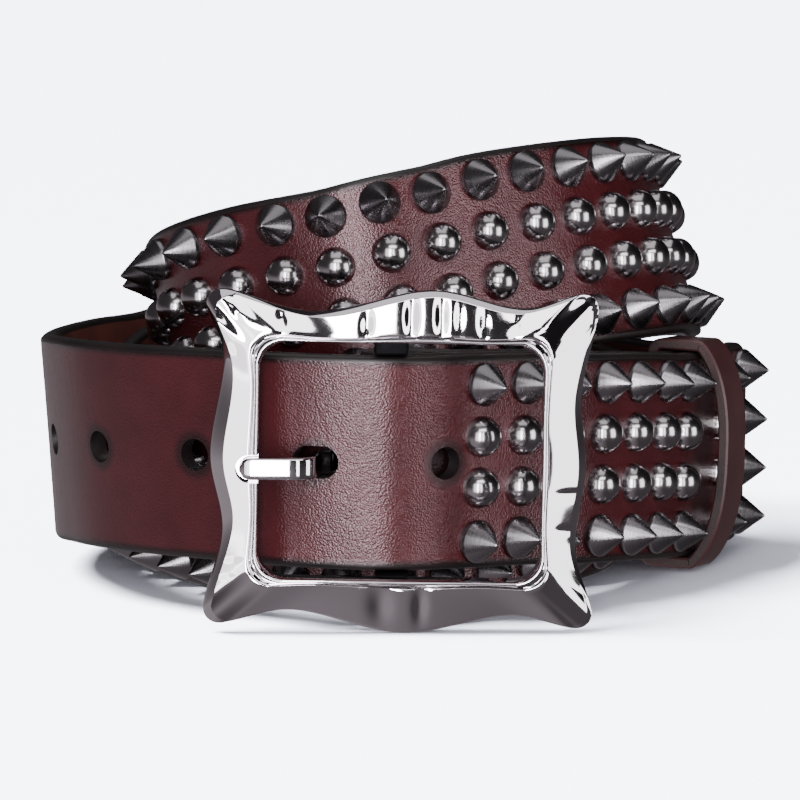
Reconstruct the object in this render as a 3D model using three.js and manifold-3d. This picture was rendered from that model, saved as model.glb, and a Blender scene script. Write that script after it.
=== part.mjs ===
// A studded leather belt, fastened through its centre-bar buckle and coiled in three
// windings. The buckle stands at the front, facing -Y, and the coil lies on Z = 0.
// Millimetres, +X to the right, +Y away from the front, +Z up.
import * as THREE from "three";
import Module from "manifold-3d";
import { mergeVertices } from "three/addons/utils/BufferGeometryUtils.js";

// Coil: half its width, from the buckle's middle, and its depth from front to back
const COIL_REACH = 66;
const COIL_DEPTH = 140;

// Strap
const STRAP_WIDTH = 38;
const STRAP_THICKNESS = 3.2;
const TIP_CORNER = 6;
const LAYER_GAP = 0.9;

// Studs: two outer rows of cones and two inner rows of domes
const STUD_PITCH = 10.34;
const OUTER_ROW = 13.95;
const INNER_ROW = 4.65;
const CONE_RADIUS = 3.85;
const CONE_HEIGHT = 6;
const DOME_RADIUS = 3.7;
const DOME_HEIGHT = 3.6;
const CONE_SIDES = 8;
const DOME_SIDES = 6;
const STUD_ROOT = 0.8;
const TAIL_COLUMNS = 10;
const KEEPER_COLUMN = 2;
const PLAIN_END = 262;

// Holes for the tongue
const HOLE_RADIUS = 2.9;
const HOLE_PITCH = 24;
const HOLE_COUNT = 7;
const STUDS_TO_HOLES = 7.6;
const HOLES_TO_STUDS = 9.5;
const PLAIN_FACETS = 15;
const TONGUE_HOLE = 1;
const TONGUE_HOLE_X = -14.6;

// Buckle
const BUCKLE_WIDTH = 68.4;
const BUCKLE_HEIGHT = 59.2;
const BUCKLE_THICKNESS = 5;
const BUCKLE_ROLL = 1;
const BUCKLE_CORNER = 2.6;
const BUCKLE_REAR = -0.6;
const OUTLINE_STEPS = 3;
const WINDOW_WIDTH = 49.6;
const WINDOW_HEIGHT = 41.8;
const WINDOW_CORNER = 5;
const BAR_X = -1.5;
const BAR_RADIUS = 2;
const LUG_WIDTH = 6;
const LUG_GAP = 0.5;
const LUG_SEAT = 3;
const LUG_ROOT = 1;

// Tongue
const TONGUE_WIDTH = 3.8;
const TONGUE_THICKNESS = 2.2;
const TONGUE_HOLE_LENGTH = 8.4;
const NOTCH_HEIGHT = 5;
const NOTCH_LENGTH = 4;
const NOTCH_DEPTH = 2.2;
const RIM_CLEARANCE = 1;

// The tongue's way, as shares of TONGUE_HOLE_LENGTH from the hole's middle: across is to the
// right and out is towards the front, first from behind the strap and then from inside it.
const TONGUE_BEHIND = [{ across: 0.5, out: 0 }, { across: 0.26, out: 0.11 }];
const TONGUE_THROUGH = [{ across: 0, out: 0 }, { across: -0.31, out: 0.38 }];
const TONGUE_FRONT = { across: -0.6, settled: 0.67 };

// Keeper and the turned-back end with its rivets
const KEEPER_WIDTH = 11;
const KEEPER_WALL = 2;
const KEEPER_ARCH = 4.6;
const KEEPER_ARCH_STEPS = 12;
const KEEPER_ARCH_ROUNDNESS = 1.3;
const KEEPER_ARCH_FULLNESS = 2.6;
const FIT = 0.35;
const FOLD_LENGTH = 34;
const RIVET_RADIUS = 1.5;
const RIVET_CAP_RADIUS = 3;
const RIVET_CAP_HEIGHT = 1;
const RIVET_SPACING = 20;

// Stations along the middle of the strap's outer face, from past the tip to the buckle end.
// across is a share of COIL_REACH, deep of COIL_DEPTH, rise is the lower edge's height as a
// share of STRAP_WIDTH, and lean is how far the upper edge tips outward, in degrees.
const TAIL = [
  { across: 1.1, deep: 0.76, rise: 0.05, lean: 1 },
  { across: 1.005, deep: 0.646, rise: 0.055, lean: 1 },
  { across: 0.936, deep: 0.567, rise: 0.062, lean: 1 },
  { across: 0.877, deep: 0.5, rise: 0.068, lean: 1 },
  { across: 0.785, deep: 0.395, rise: 0.1, lean: 1 },
  { across: 0.671, deep: 0.296, rise: 0.152, lean: 0 },
  { across: 0.529, deep: 0.204, rise: 0.192, lean: 0 },
  { across: 0.353, deep: 0.126, rise: 0.232, lean: 0 },
  { across: 0.176, deep: 0.049, rise: 0.262, lean: 0 },
];
const OUTER_WINDING = [
  { across: 0.07, deep: 0.019, rise: 0.273, lean: 0 },
  { across: -0.041, deep: 0.001, rise: 0.281, lean: 0 },
  { across: -0.279, deep: 0.016, rise: 0.287, lean: 0 },
  { across: -0.495, deep: 0.066, rise: 0.284, lean: 2 },
  { across: -0.692, deep: 0.132, rise: 0.271, lean: 4 },
  { across: -0.852, deep: 0.217, rise: 0.253, lean: 5 },
  { across: -0.945, deep: 0.321, rise: 0.221, lean: 5 },
  { across: -0.991, deep: 0.433, rise: 0.179, lean: 4 },
  { across: -0.98, deep: 0.557, rise: 0.158, lean: 2 },
  { across: -0.912, deep: 0.671, rise: 0.147, lean: 0 },
  { across: -0.748, deep: 0.807, rise: 0.145, lean: -2 },
  { across: -0.5, deep: 0.911, rise: 0.276, lean: -4 },
  { across: -0.197, deep: 0.968, rise: 0.434, lean: -8 },
  { across: 0.121, deep: 0.979, rise: 0.618, lean: -12 },
  { across: 0.424, deep: 0.936, rise: 0.816, lean: -15 },
  { across: 0.652, deep: 0.868, rise: 0.961, lean: -16 },
  { across: 0.773, deep: 0.786, rise: 1.026, lean: -17 },
];
const UPPER_WINDING = [
  { across: 0.795, deep: 0.7, rise: 1.06, lean: -17 },
  { across: 0.776, deep: 0.624, rise: 1.12, lean: -17 },
  { across: 0.689, deep: 0.486, rise: 1.18, lean: -18 },
  { across: 0.506, deep: 0.369, rise: 1.187, lean: -16 },
  { across: 0.259, deep: 0.279, rise: 1.145, lean: -12 },
  { across: 0.127, deep: 0.237, rise: 1.103, lean: -12 },
  { across: -0.011, deep: 0.206, rise: 1.063, lean: -11 },
  { across: -0.162, deep: 0.201, rise: 0.997, lean: -8 },
  { across: -0.43, deep: 0.264, rise: 0.874, lean: 2 },
  { across: -0.606, deep: 0.376, rise: 0.734, lean: 10 },
  { across: -0.65, deep: 0.514, rise: 0.587, lean: 16 },
  { across: -0.553, deep: 0.664, rise: 0.408, lean: 11 },
  { across: -0.182, deep: 0.807, rise: 0.197, lean: 5 },
  { across: 0.341, deep: 0.807, rise: 0.058, lean: 1 },
];
const LOWER_WINDING = [
  { across: 0.635, deep: 0.664, rise: 0.005, lean: 0 },
  { across: 0.618, deep: 0.5, rise: 0, lean: 0 },
  { across: 0.474, deep: 0.355, rise: 0, lean: 0 },
  { across: 0.175, deep: 0.226, rise: 0, lean: 2 },
  { across: 0.015, deep: 0.177, rise: 0, lean: 4 },
  { across: -0.158, deep: 0.163, rise: 0, lean: 8 },
  { across: -0.34, deep: 0.184, rise: 0, lean: 11 },
  { across: -0.475, deep: 0.236, rise: 0, lean: 12 },
  { across: -0.668, deep: 0.36, rise: 0, lean: 11 },
  { across: -0.771, deep: 0.474, rise: 0, lean: 6 },
  { across: -0.815, deep: 0.621, rise: 0.02, lean: 1 },
  { across: -0.682, deep: 0.775, rise: 0.11, lean: -1 },
  { across: -0.212, deep: 0.907, rise: 0.07, lean: 0 },
  { across: 0.394, deep: 0.886, rise: 0.015, lean: 0 },
  { across: 0.792, deep: 0.725, rise: 0.003, lean: 0 },
  { across: 0.862, deep: 0.648, rise: 0.02, lean: 0 },
];

// Each side of the buckle dips and bulges between its corners: along is the share of the side,
// inset the share of BUCKLE_HEIGHT by which the outline lies inside the straight line.
const BUCKLE_SIDES = {
  bottom: [{ along: 0.22, inset: 0.044 }, { along: 0.51, inset: -0.02 }, { along: 0.8, inset: 0.037 }],
  right: [{ along: 0.23, inset: 0.052 }, { along: 0.48, inset: 0.027 }, { along: 0.7, inset: 0.044 }],
  top: [{ along: 0.19, inset: 0.044 }, { along: 0.42, inset: -0.005 }, { along: 0.73, inset: 0.062 }],
  left: [{ along: 0.19, inset: 0.049 }, { along: 0.5, inset: 0.014 }, { along: 0.72, inset: 0.052 }],
};

const wasm = await Module();
wasm.setup();

const LEATHER = new THREE.MeshStandardMaterial({ color: 0x4a1d1c, roughness: 0.42, metalness: 0 });
const KEEPER_LEATHER = new THREE.MeshStandardMaterial({ color: 0x3a1d1b, roughness: 0.45, metalness: 0 });
const DARK_NICKEL = new THREE.MeshStandardMaterial({ color: 0x8d8990, roughness: 0.12, metalness: 1 });
const BRIGHT_NICKEL = new THREE.MeshStandardMaterial({ color: 0xc9c6cb, roughness: 0.1, metalness: 1 });

/** A closed geometry as a solid that can be joined and cut. */
function solidOf(geometry) {
  const bare = geometry.clone();
  bare.deleteAttribute("normal");
  bare.deleteAttribute("uv");
  const merged = mergeVertices(bare, 1e-4);
  return new wasm.Manifold(new wasm.Mesh({
    numProp: 3,
    vertProperties: new Float32Array(merged.attributes.position.array),
    triVerts: new Uint32Array(merged.index.array),
  }));
}

/** A solid back as a geometry with plain facets. */
function geometryOf(solid) {
  const mesh = solid.getMesh();
  const geometry = new THREE.BufferGeometry();
  geometry.setAttribute("position", new THREE.BufferAttribute(mesh.vertProperties, 3));
  geometry.setIndex(new THREE.BufferAttribute(mesh.triVerts, 1));
  geometry.computeVertexNormals();
  return geometry;
}

/** A place on the strap: a point on its outer face, the way outward, and the way to its upper edge. */
class Place {
  constructor(point, along, lean) {
    const level = new THREE.Vector3(-along.y, along.x, 0).normalize();
    const upright = new THREE.Vector3().crossVectors(along, level).normalize();
    this.point = point.clone();
    this.upward = upright.clone().multiplyScalar(Math.cos(lean)).addScaledVector(level, Math.sin(lean));
    this.outward = level.clone().multiplyScalar(Math.cos(lean)).addScaledVector(upright, -Math.sin(lean));
  }

  /** The same place, moved out of the strap's face, or into it by a negative distance. */
  moved(out, up = 0) {
    return this.point.clone().addScaledVector(this.outward, out).addScaledVector(this.upward, up);
  }

  /** A matrix that stands +Z on the strap's face, with +Y towards the upper edge. */
  matrix(up = 0, out = 0) {
    const side = new THREE.Vector3().crossVectors(this.upward, this.outward);
    return new THREE.Matrix4().makeBasis(side, this.upward, this.outward).setPosition(this.moved(out, up));
  }
}

/** The line of the strap's outer face through the stations, measured along its length. */
class Route {
  constructor(stations) {
    const middles = stations.map((row) => row.point ?? stationPoint(row));
    this.leans = stations.map((row) => THREE.MathUtils.degToRad(row.lean));
    this.curve = new THREE.CatmullRomCurve3(middles, false, "centripetal");
    this.samples = 40 * stations.length;
    this.lengths = [0];
    let last = this.curve.getPoint(0);
    for (let i = 1; i <= this.samples; i += 1) {
      const next = this.curve.getPoint(i / this.samples);
      this.lengths.push(this.lengths[i - 1] + next.distanceTo(last));
      last = next;
    }
    this.length = this.lengths[this.samples];
  }

  /** The curve's own parameter at a length. */
  parameter(length) {
    let i = this.lengths.findIndex((reached) => reached >= length);
    i = THREE.MathUtils.clamp(i < 0 ? this.samples : i, 1, this.samples);
    const span = this.lengths[i] - this.lengths[i - 1];
    return (i - 1 + (length - this.lengths[i - 1]) / span) / this.samples;
  }

  at(length) {
    const t = this.parameter(length);
    const row = t * (this.leans.length - 1);
    const before = THREE.MathUtils.clamp(Math.floor(row), 0, this.leans.length - 2);
    const lean = THREE.MathUtils.lerp(this.leans[before], this.leans[before + 1], row - before);
    return new Place(this.curve.getPoint(t), this.curve.getTangent(t), lean);
  }

  /** The length at which the line first passes a value of X, going left. */
  lengthAtX(x) {
    const i = this.lengths.findIndex((_, n) => this.curve.getPoint(n / this.samples).x < x);
    return this.lengths[i];
  }
}

function stationPoint(row) {
  const lean = THREE.MathUtils.degToRad(row.lean);
  const middle = row.rise * STRAP_WIDTH + (STRAP_WIDTH / 2) * Math.cos(lean);
  return new THREE.Vector3(row.across * COIL_REACH, row.deep * COIL_DEPTH, middle);
}

/** The bar stands behind the tail, with the strap's turn and a gap between them. */
const WRAP_RADIUS = BAR_RADIUS + FIT + STRAP_THICKNESS;
const outerRoute = new Route([...TAIL, ...OUTER_WINDING]);
const barDepth = findBarDepth();

function findBarDepth() {
  const room = STRAP_THICKNESS + LAYER_GAP + WRAP_RADIUS;
  let depth = 0;
  for (let length = 0; length < outerRoute.length; length += 0.5) {
    const point = outerRoute.at(length).point;
    const aside = Math.abs(point.x - BAR_X);
    if (aside < room && point.y < COIL_DEPTH / 4) {
      depth = Math.max(depth, point.y + Math.sqrt(room ** 2 - aside ** 2));
    }
  }
  return depth;
}

/** The buckle end lies just inside the tail, so its stations are the tail's, moved inward. */
function buckleEndStations() {
  return TAIL.slice(2).map((row) => {
    const length = outerRoute.lengthAtX(row.across * COIL_REACH);
    const place = outerRoute.at(length);
    return { point: place.moved(-STRAP_THICKNESS - LAYER_GAP), lean: row.lean };
  });
}

/** The straight run from the last of those stations to the turn round the bar. */
function tangentAngle(from) {
  const toBar = new THREE.Vector2(BAR_X - from.x, barDepth - from.y);
  return toBar.angle() - Math.PI - Math.acos(WRAP_RADIUS / toBar.length());
}

const endStations = buckleEndStations();
const lastStation = endStations[endStations.length - 1].point;
const turnStart = tangentAngle(lastStation);

function wrapPoint(angle, height) {
  const around = new THREE.Vector3(Math.cos(angle), Math.sin(angle), 0);
  return around.multiplyScalar(WRAP_RADIUS).add(new THREE.Vector3(BAR_X, barDepth, height));
}

/** The turn lies level with the tail in front of the bar. */
const wrapHeight = outerRoute.at(outerRoute.lengthAtX(BAR_X)).point.z;
const route = new Route([
  ...TAIL, ...OUTER_WINDING, ...UPPER_WINDING, ...LOWER_WINDING, ...endStations,
  { point: wrapPoint(turnStart, wrapHeight), lean: 0 },
]);

// Lengths along the route
const tongueHoleAt = route.lengthAtX(TONGUE_HOLE_X);
const firstHoleAt = tongueHoleAt - TONGUE_HOLE * HOLE_PITCH;
const plainStartAt = firstHoleAt - STUDS_TO_HOLES + STUD_PITCH / 2;
const tipAt = plainStartAt - TAIL_COLUMNS * STUD_PITCH;
const lastHoleAt = firstHoleAt + (HOLE_COUNT - 1) * HOLE_PITCH;
const plainEndAt = lastHoleAt + HOLES_TO_STUDS - STUD_PITCH / 2;
const studsEndAt = route.length - PLAIN_END;

/** Places where the strap bends: about one stud pitch apart, then round the bar and back. */
function bends() {
  const plainStep = (plainEndAt - plainStartAt) / PLAIN_FACETS;
  const runs = [
    { start: tipAt, step: STUD_PITCH, facets: TAIL_COLUMNS },
    { start: plainStartAt, step: plainStep, facets: PLAIN_FACETS },
    { start: plainEndAt, step: STUD_PITCH, facets: Math.round((route.length - plainEndAt) / STUD_PITCH) },
  ];
  const places = runs.flatMap((run) => (
    Array.from({ length: run.facets }, (_, i) => route.at(run.start + i * run.step))
  ));
  return [...places, ...turnAndFold()];
}

function turnAndFold() {
  const places = [];
  const steps = 8;
  for (let i = 0; i <= steps; i += 1) {
    const angle = turnStart - (Math.PI * i) / steps;
    const along = new THREE.Vector3(Math.sin(angle), -Math.cos(angle), 0);
    places.push(new Place(wrapPoint(angle, wrapHeight), along, 0));
  }
  const spread = 2 * WRAP_RADIUS;
  const closed = 2 * STRAP_THICKNESS + FIT;
  for (const share of [0.35, 0.6, 1]) {
    const front = route.at(route.length - share * FOLD_LENGTH);
    const depth = share < 0.5 ? (spread + closed) / 2 : closed;
    const back = new Place(front.moved(-depth), front.outward, 0);
    back.outward = front.outward.clone().negate();
    back.upward = front.upward.clone();
    places.push(back);
  }
  return places;
}

/** A path through given places, for a sweep that keeps each place's own directions. */
class PlacedPath extends THREE.Curve {
  constructor(places) {
    super();
    this.places = places;
  }

  getSpacedPoints() {
    return this.places.map((place) => place.point);
  }

  getPoint(t) {
    return this.places[Math.round(t * (this.places.length - 1))].point.clone();
  }

  computeFrenetFrames() {
    return {
      tangents: this.places.map((place) => new THREE.Vector3().crossVectors(place.outward, place.upward)),
      normals: this.places.map((place) => place.outward),
      binormals: this.places.map((place) => place.upward),
    };
  }
}

function sweep(section, places) {
  return new THREE.ExtrudeGeometry(section, {
    steps: places.length - 1, extrudePath: new PlacedPath(places), bevelEnabled: false,
  });
}

function rectangle(left, bottom, right, top) {
  return new THREE.Shape([
    new THREE.Vector2(left, bottom), new THREE.Vector2(right, bottom),
    new THREE.Vector2(right, top), new THREE.Vector2(left, top),
  ]);
}

function coneGeometry() {
  const rootRadius = CONE_RADIUS * (1 + STUD_ROOT / CONE_HEIGHT);
  const cone = new THREE.LatheGeometry([
    new THREE.Vector2(0, -STUD_ROOT), new THREE.Vector2(rootRadius, -STUD_ROOT),
    new THREE.Vector2(0, CONE_HEIGHT),
  ], CONE_SIDES);
  return cone.rotateX(Math.PI / 2);
}

function domeGeometry() {
  const dome = new THREE.LatheGeometry([
    new THREE.Vector2(0, -STUD_ROOT), new THREE.Vector2(DOME_RADIUS, -STUD_ROOT),
    new THREE.Vector2(DOME_RADIUS * 0.78, DOME_HEIGHT * 0.65), new THREE.Vector2(0, DOME_HEIGHT),
  ], DOME_SIDES);
  return dome.rotateX(Math.PI / 2);
}

/** The middle of the flat facet between two bends. */
function facetMiddle(first, second) {
  const middle = new Place(first.point.clone().lerp(second.point, 0.5), new THREE.Vector3(1, 0, 0), 0);
  middle.upward = first.upward.clone().add(second.upward).normalize();
  const along = second.point.clone().sub(first.point).normalize();
  middle.outward = new THREE.Vector3().crossVectors(middle.upward, along).normalize();
  return middle;
}

/** Whether a facet has its column of studs: the keeper and the holes have plain leather. */
function isStudded(facet) {
  if (facet < TAIL_COLUMNS) return facet !== KEEPER_COLUMN;
  const column = facet - TAIL_COLUMNS - PLAIN_FACETS;
  return column >= 0 && plainEndAt + (column + 0.5) * STUD_PITCH < studsEndAt;
}

/** A round hole, or the long one that the tongue has stretched. */
function holeCutter(length) {
  const outline = roundedRectangle(length, 2 * HOLE_RADIUS, HOLE_RADIUS);
  const shape = new THREE.Shape(distinctPoints(outline, 2));
  return new THREE.ExtrudeGeometry(shape, { depth: 2 * STRAP_THICKNESS, bevelEnabled: false });
}

function makeStrap() {
  const places = bends();
  const section = rectangle(-STRAP_THICKNESS, -STRAP_WIDTH / 2, 0, STRAP_WIDTH / 2);
  let strap = solidOf(sweep(section, places));

  for (let i = 0; i < HOLE_COUNT; i += 1) {
    const place = route.at(firstHoleAt + i * HOLE_PITCH);
    const length = i === TONGUE_HOLE ? TONGUE_HOLE_LENGTH : 2 * HOLE_RADIUS;
    const cutter = holeCutter(length).applyMatrix4(place.matrix(0, -1.5 * STRAP_THICKNESS));
    strap = strap.subtract(solidOf(cutter));
  }

  for (const side of [-1, 1]) {
    const corner = new THREE.Shape();
    corner.moveTo(1, side);
    corner.lineTo(1, -side * TIP_CORNER);
    corner.lineTo(0, -side * TIP_CORNER);
    corner.absarc(-TIP_CORNER, -side * TIP_CORNER, TIP_CORNER, 0, side * Math.PI / 2, side < 0);
    corner.lineTo(-TIP_CORNER, side);
    const cutter = new THREE.ExtrudeGeometry(corner, {
      depth: 2 * STRAP_THICKNESS, bevelEnabled: false, curveSegments: 4,
    });
    const place = facetMiddle(places[0], places[1]);
    const tip = place.matrix(side * STRAP_WIDTH / 2, -1.5 * STRAP_THICKNESS);
    cutter.translate(STUD_PITCH / 2, 0, 0);
    strap = strap.subtract(solidOf(cutter.applyMatrix4(tip)));
  }

  const slotRadius = WRAP_RADIUS + LAYER_GAP / 2;
  const tongueRoom = new THREE.CylinderGeometry(slotRadius, slotRadius, TONGUE_WIDTH + 2, 12);
  tongueRoom.rotateX(Math.PI / 2).translate(BAR_X, barDepth, wrapHeight);
  strap = strap.subtract(solidOf(tongueRoom));

  for (const place of rivetPlaces()) {
    const bore = new THREE.CylinderGeometry(RIVET_RADIUS + FIT, RIVET_RADIUS + FIT,
      2 * STRAP_THICKNESS + LAYER_GAP + FIT, 10);
    bore.rotateX(Math.PI / 2);
    const middle = -STRAP_THICKNESS - FIT / 2;
    strap = strap.subtract(solidOf(bore.applyMatrix4(place.matrix(0, middle))));
  }

  const cone = coneGeometry();
  const dome = domeGeometry();
  for (let facet = 0; facet < places.length - 1; facet += 1) {
    if (!isStudded(facet)) continue;
    const place = facetMiddle(places[facet], places[facet + 1]);
    const inner = facet === 0 ? cone : dome;
    for (const side of [-1, 1]) {
      strap = strap.add(solidOf(cone.clone().applyMatrix4(place.matrix(side * OUTER_ROW))));
      strap = strap.add(solidOf(inner.clone().applyMatrix4(place.matrix(side * INNER_ROW))));
    }
  }
  return geometryOf(strap);
}

/** Where the two rivets go through the buckle end and its fold, on the outer face. */
function rivetPlaces() {
  const place = route.at(route.length - 0.8 * FOLD_LENGTH);
  return [-1, 1].map((side) => {
    const shifted = route.at(route.length - 0.8 * FOLD_LENGTH);
    shifted.point = place.moved(0, side * RIVET_SPACING / 2);
    return shifted;
  });
}

function makeRivet(place) {
  const rear = -2 * STRAP_THICKNESS - 2 * FIT;
  const cap = rear - RIVET_CAP_HEIGHT;
  const rivet = new THREE.LatheGeometry([
    new THREE.Vector2(0, cap), new THREE.Vector2(RIVET_CAP_RADIUS * 0.8, cap),
    new THREE.Vector2(RIVET_CAP_RADIUS, rear), new THREE.Vector2(RIVET_RADIUS, rear),
    new THREE.Vector2(RIVET_RADIUS, 0), new THREE.Vector2(0, 0),
  ], 10);
  rivet.rotateX(Math.PI / 2);
  return rivet.applyMatrix4(place.matrix());
}

function buckleOutline() {
  const right = BUCKLE_WIDTH / 2;
  const top = BUCKLE_HEIGHT / 2;
  const corners = [
    new THREE.Vector2(-right, -top), new THREE.Vector2(right, -top),
    new THREE.Vector2(right, top), new THREE.Vector2(-right, top),
  ];
  const knots = ["bottom", "right", "top", "left"].flatMap((side, i) => {
    const from = corners[i];
    const to = corners[(i + 1) % 4];
    const next = corners[(i + 2) % 4];
    const inward = new THREE.Vector2(from.y - to.y, to.x - from.x).normalize();
    const reach = BUCKLE_CORNER / from.distanceTo(to);
    const rows = [{ along: reach, inset: 0 }, ...BUCKLE_SIDES[side], { along: 1 - reach, inset: 0 }];
    const points = rows.map((row) => (
      from.clone().lerp(to, row.along).addScaledVector(inward, row.inset * BUCKLE_HEIGHT)
    ));
    const rounding = BUCKLE_CORNER * (1 - Math.SQRT1_2);
    const back = from.clone().sub(to).setLength(rounding);
    const onward = next.clone().sub(to).setLength(rounding);
    return [...points, to.clone().add(back).add(onward)];
  });
  const flat = knots.map((knot) => new THREE.Vector3(knot.x, knot.y, 0));
  const line = new THREE.CatmullRomCurve3(flat, true, "centripetal");
  const points = line.getPoints(OUTLINE_STEPS * flat.length).slice(1);
  return new THREE.Shape(points.map((point) => new THREE.Vector2(point.x, point.y)));
}

function roundedRectangle(width, height, radius) {
  const path = new THREE.Path();
  const right = width / 2 - radius;
  const top = height / 2 - radius;
  path.absarc(right, -top, radius, -Math.PI / 2, 0, false);
  path.absarc(right, top, radius, 0, Math.PI / 2, false);
  path.absarc(-right, top, radius, Math.PI / 2, Math.PI, false);
  path.absarc(-right, -top, radius, Math.PI, 1.5 * Math.PI, false);
  path.closePath();
  return path;
}

/** The frame's plate, standing on the floor with its rear face behind the bars' middle. */
function frontPlate() {
  const outline = buckleOutline();
  outline.holes.push(roundedRectangle(WINDOW_WIDTH, WINDOW_HEIGHT, WINDOW_CORNER));
  const plate = new THREE.ExtrudeGeometry(outline, {
    depth: BUCKLE_THICKNESS, bevelEnabled: false, curveSegments: 5,
  });
  plate.rotateX(Math.PI / 2).rotateY(THREE.MathUtils.degToRad(BUCKLE_ROLL));
  plate.translate(0, BUCKLE_REAR, 0);
  plate.computeBoundingBox();
  return plate;
}

const PLATE = frontPlate();
const BUCKLE_MIDDLE_Z = -PLATE.boundingBox.min.z;
PLATE.translate(0, 0, BUCKLE_MIDDLE_Z);

function makeBuckleFrame() {
  let frame = solidOf(PLATE);
  const notch = new THREE.BoxGeometry(NOTCH_LENGTH * 2, NOTCH_DEPTH * 2, NOTCH_HEIGHT);
  notch.translate(-WINDOW_WIDTH / 2, BUCKLE_REAR - BUCKLE_THICKNESS, wrapHeight);
  frame = frame.subtract(solidOf(notch));

  const strapTop = wrapHeight + STRAP_WIDTH / 2 + LUG_GAP;
  const strapFoot = wrapHeight - STRAP_WIDTH / 2 - LUG_GAP;
  const lugTop = Math.max(BUCKLE_MIDDLE_Z + WINDOW_HEIGHT / 2, strapTop) + LUG_SEAT;
  const lugFoot = Math.min(BUCKLE_MIDDLE_Z - WINDOW_HEIGHT / 2, strapFoot) - LUG_SEAT;
  const lugFront = BUCKLE_REAR - LUG_ROOT;
  const lugDepth = barDepth + BAR_RADIUS - lugFront;
  for (const [low, high] of [[strapTop, lugTop], [lugFoot, strapFoot]]) {
    const lug = new THREE.BoxGeometry(LUG_WIDTH, lugDepth, high - low);
    lug.translate(BAR_X, lugFront + lugDepth / 2, (low + high) / 2);
    frame = frame.add(solidOf(lug));
  }
  const bar = new THREE.CylinderGeometry(BAR_RADIUS, BAR_RADIUS, strapTop - strapFoot + LUG_SEAT, 12);
  bar.rotateX(Math.PI / 2).translate(BAR_X, barDepth, (strapTop + strapFoot) / 2);
  frame = frame.add(solidOf(bar));
  return geometryOf(frame);
}

/** The tongue curls round the bar, crosses the tail through its hole and lies in the frame's notch. */
function makeTongue() {
  const ring = BAR_RADIUS + FIT + TONGUE_THICKNESS / 2;
  const hole = route.at(tongueHoleAt);
  const points = [];
  for (let degrees = 180; degrees >= -90; degrees -= 30) {
    const angle = THREE.MathUtils.degToRad(degrees);
    points.push([BAR_X + ring * Math.cos(angle), barDepth + ring * Math.sin(angle)]);
  }
  const behind = barDepth - ring;
  const middle = hole.point.y + STRAP_THICKNESS / 2;
  const notchFloor = BUCKLE_REAR - BUCKLE_THICKNESS + NOTCH_DEPTH;
  const rest = notchFloor - TONGUE_THICKNESS / 2 - FIT / 2;
  for (const [rows, depth] of [[TONGUE_BEHIND, behind], [TONGUE_THROUGH, middle]]) {
    for (const row of rows) {
      points.push([hole.point.x + row.across * TONGUE_HOLE_LENGTH, depth - row.out * TONGUE_HOLE_LENGTH]);
    }
  }
  const [, leaving] = points[points.length - 1];
  points.push([
    hole.point.x + TONGUE_FRONT.across * TONGUE_HOLE_LENGTH,
    THREE.MathUtils.lerp(leaving, rest, TONGUE_FRONT.settled),
  ]);
  points.push([RIM_CLEARANCE - WINDOW_WIDTH / 2, rest]);
  points.push([2 * FIT - WINDOW_WIDTH / 2 - NOTCH_LENGTH, rest]);
  const places = points.map(([x, y], i) => {
    const [fromX, fromY] = points[Math.max(i - 1, 0)];
    const [toX, toY] = points[Math.min(i + 1, points.length - 1)];
    const along = new THREE.Vector3(toX - fromX, toY - fromY, 0).normalize();
    return new Place(new THREE.Vector3(x, y, wrapHeight), along, 0);
  });
  const thick = TONGUE_THICKNESS / 2;
  const wide = TONGUE_WIDTH / 2;
  const edge = TONGUE_THICKNESS / 5;
  const section = new THREE.Shape([
    new THREE.Vector2(-thick, edge - wide), new THREE.Vector2(edge - thick, -wide),
    new THREE.Vector2(thick - edge, -wide), new THREE.Vector2(thick, edge - wide),
    new THREE.Vector2(thick, wide - edge), new THREE.Vector2(thick - edge, wide),
    new THREE.Vector2(edge - thick, wide), new THREE.Vector2(-thick, wide - edge),
  ]);
  return geometryOf(solidOf(sweep(section, places)));
}

/** A closed path's points, each once. */
function distinctPoints(path, divisions = 4) {
  const points = path.getPoints(divisions);
  return points.filter((point, i) => point.distanceTo(points[(i + 1) % points.length]) > 0.01);
}

/** The keeper's front as seen along the strap: an arch that bends round into both sides. */
function keeperArch(foot, rise, half) {
  const points = [];
  for (let i = 0; i <= KEEPER_ARCH_STEPS; i += 1) {
    const angle = Math.PI * (i / KEEPER_ARCH_STEPS - 0.5);
    const out = Math.max(Math.cos(angle), 0) ** (2 / KEEPER_ARCH_ROUNDNESS);
    const up = Math.abs(Math.sin(angle)) ** (2 / KEEPER_ARCH_FULLNESS);
    points.push(new THREE.Vector2(foot + rise * out, half * Math.sign(Math.sin(angle)) * up));
  }
  return points;
}

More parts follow.
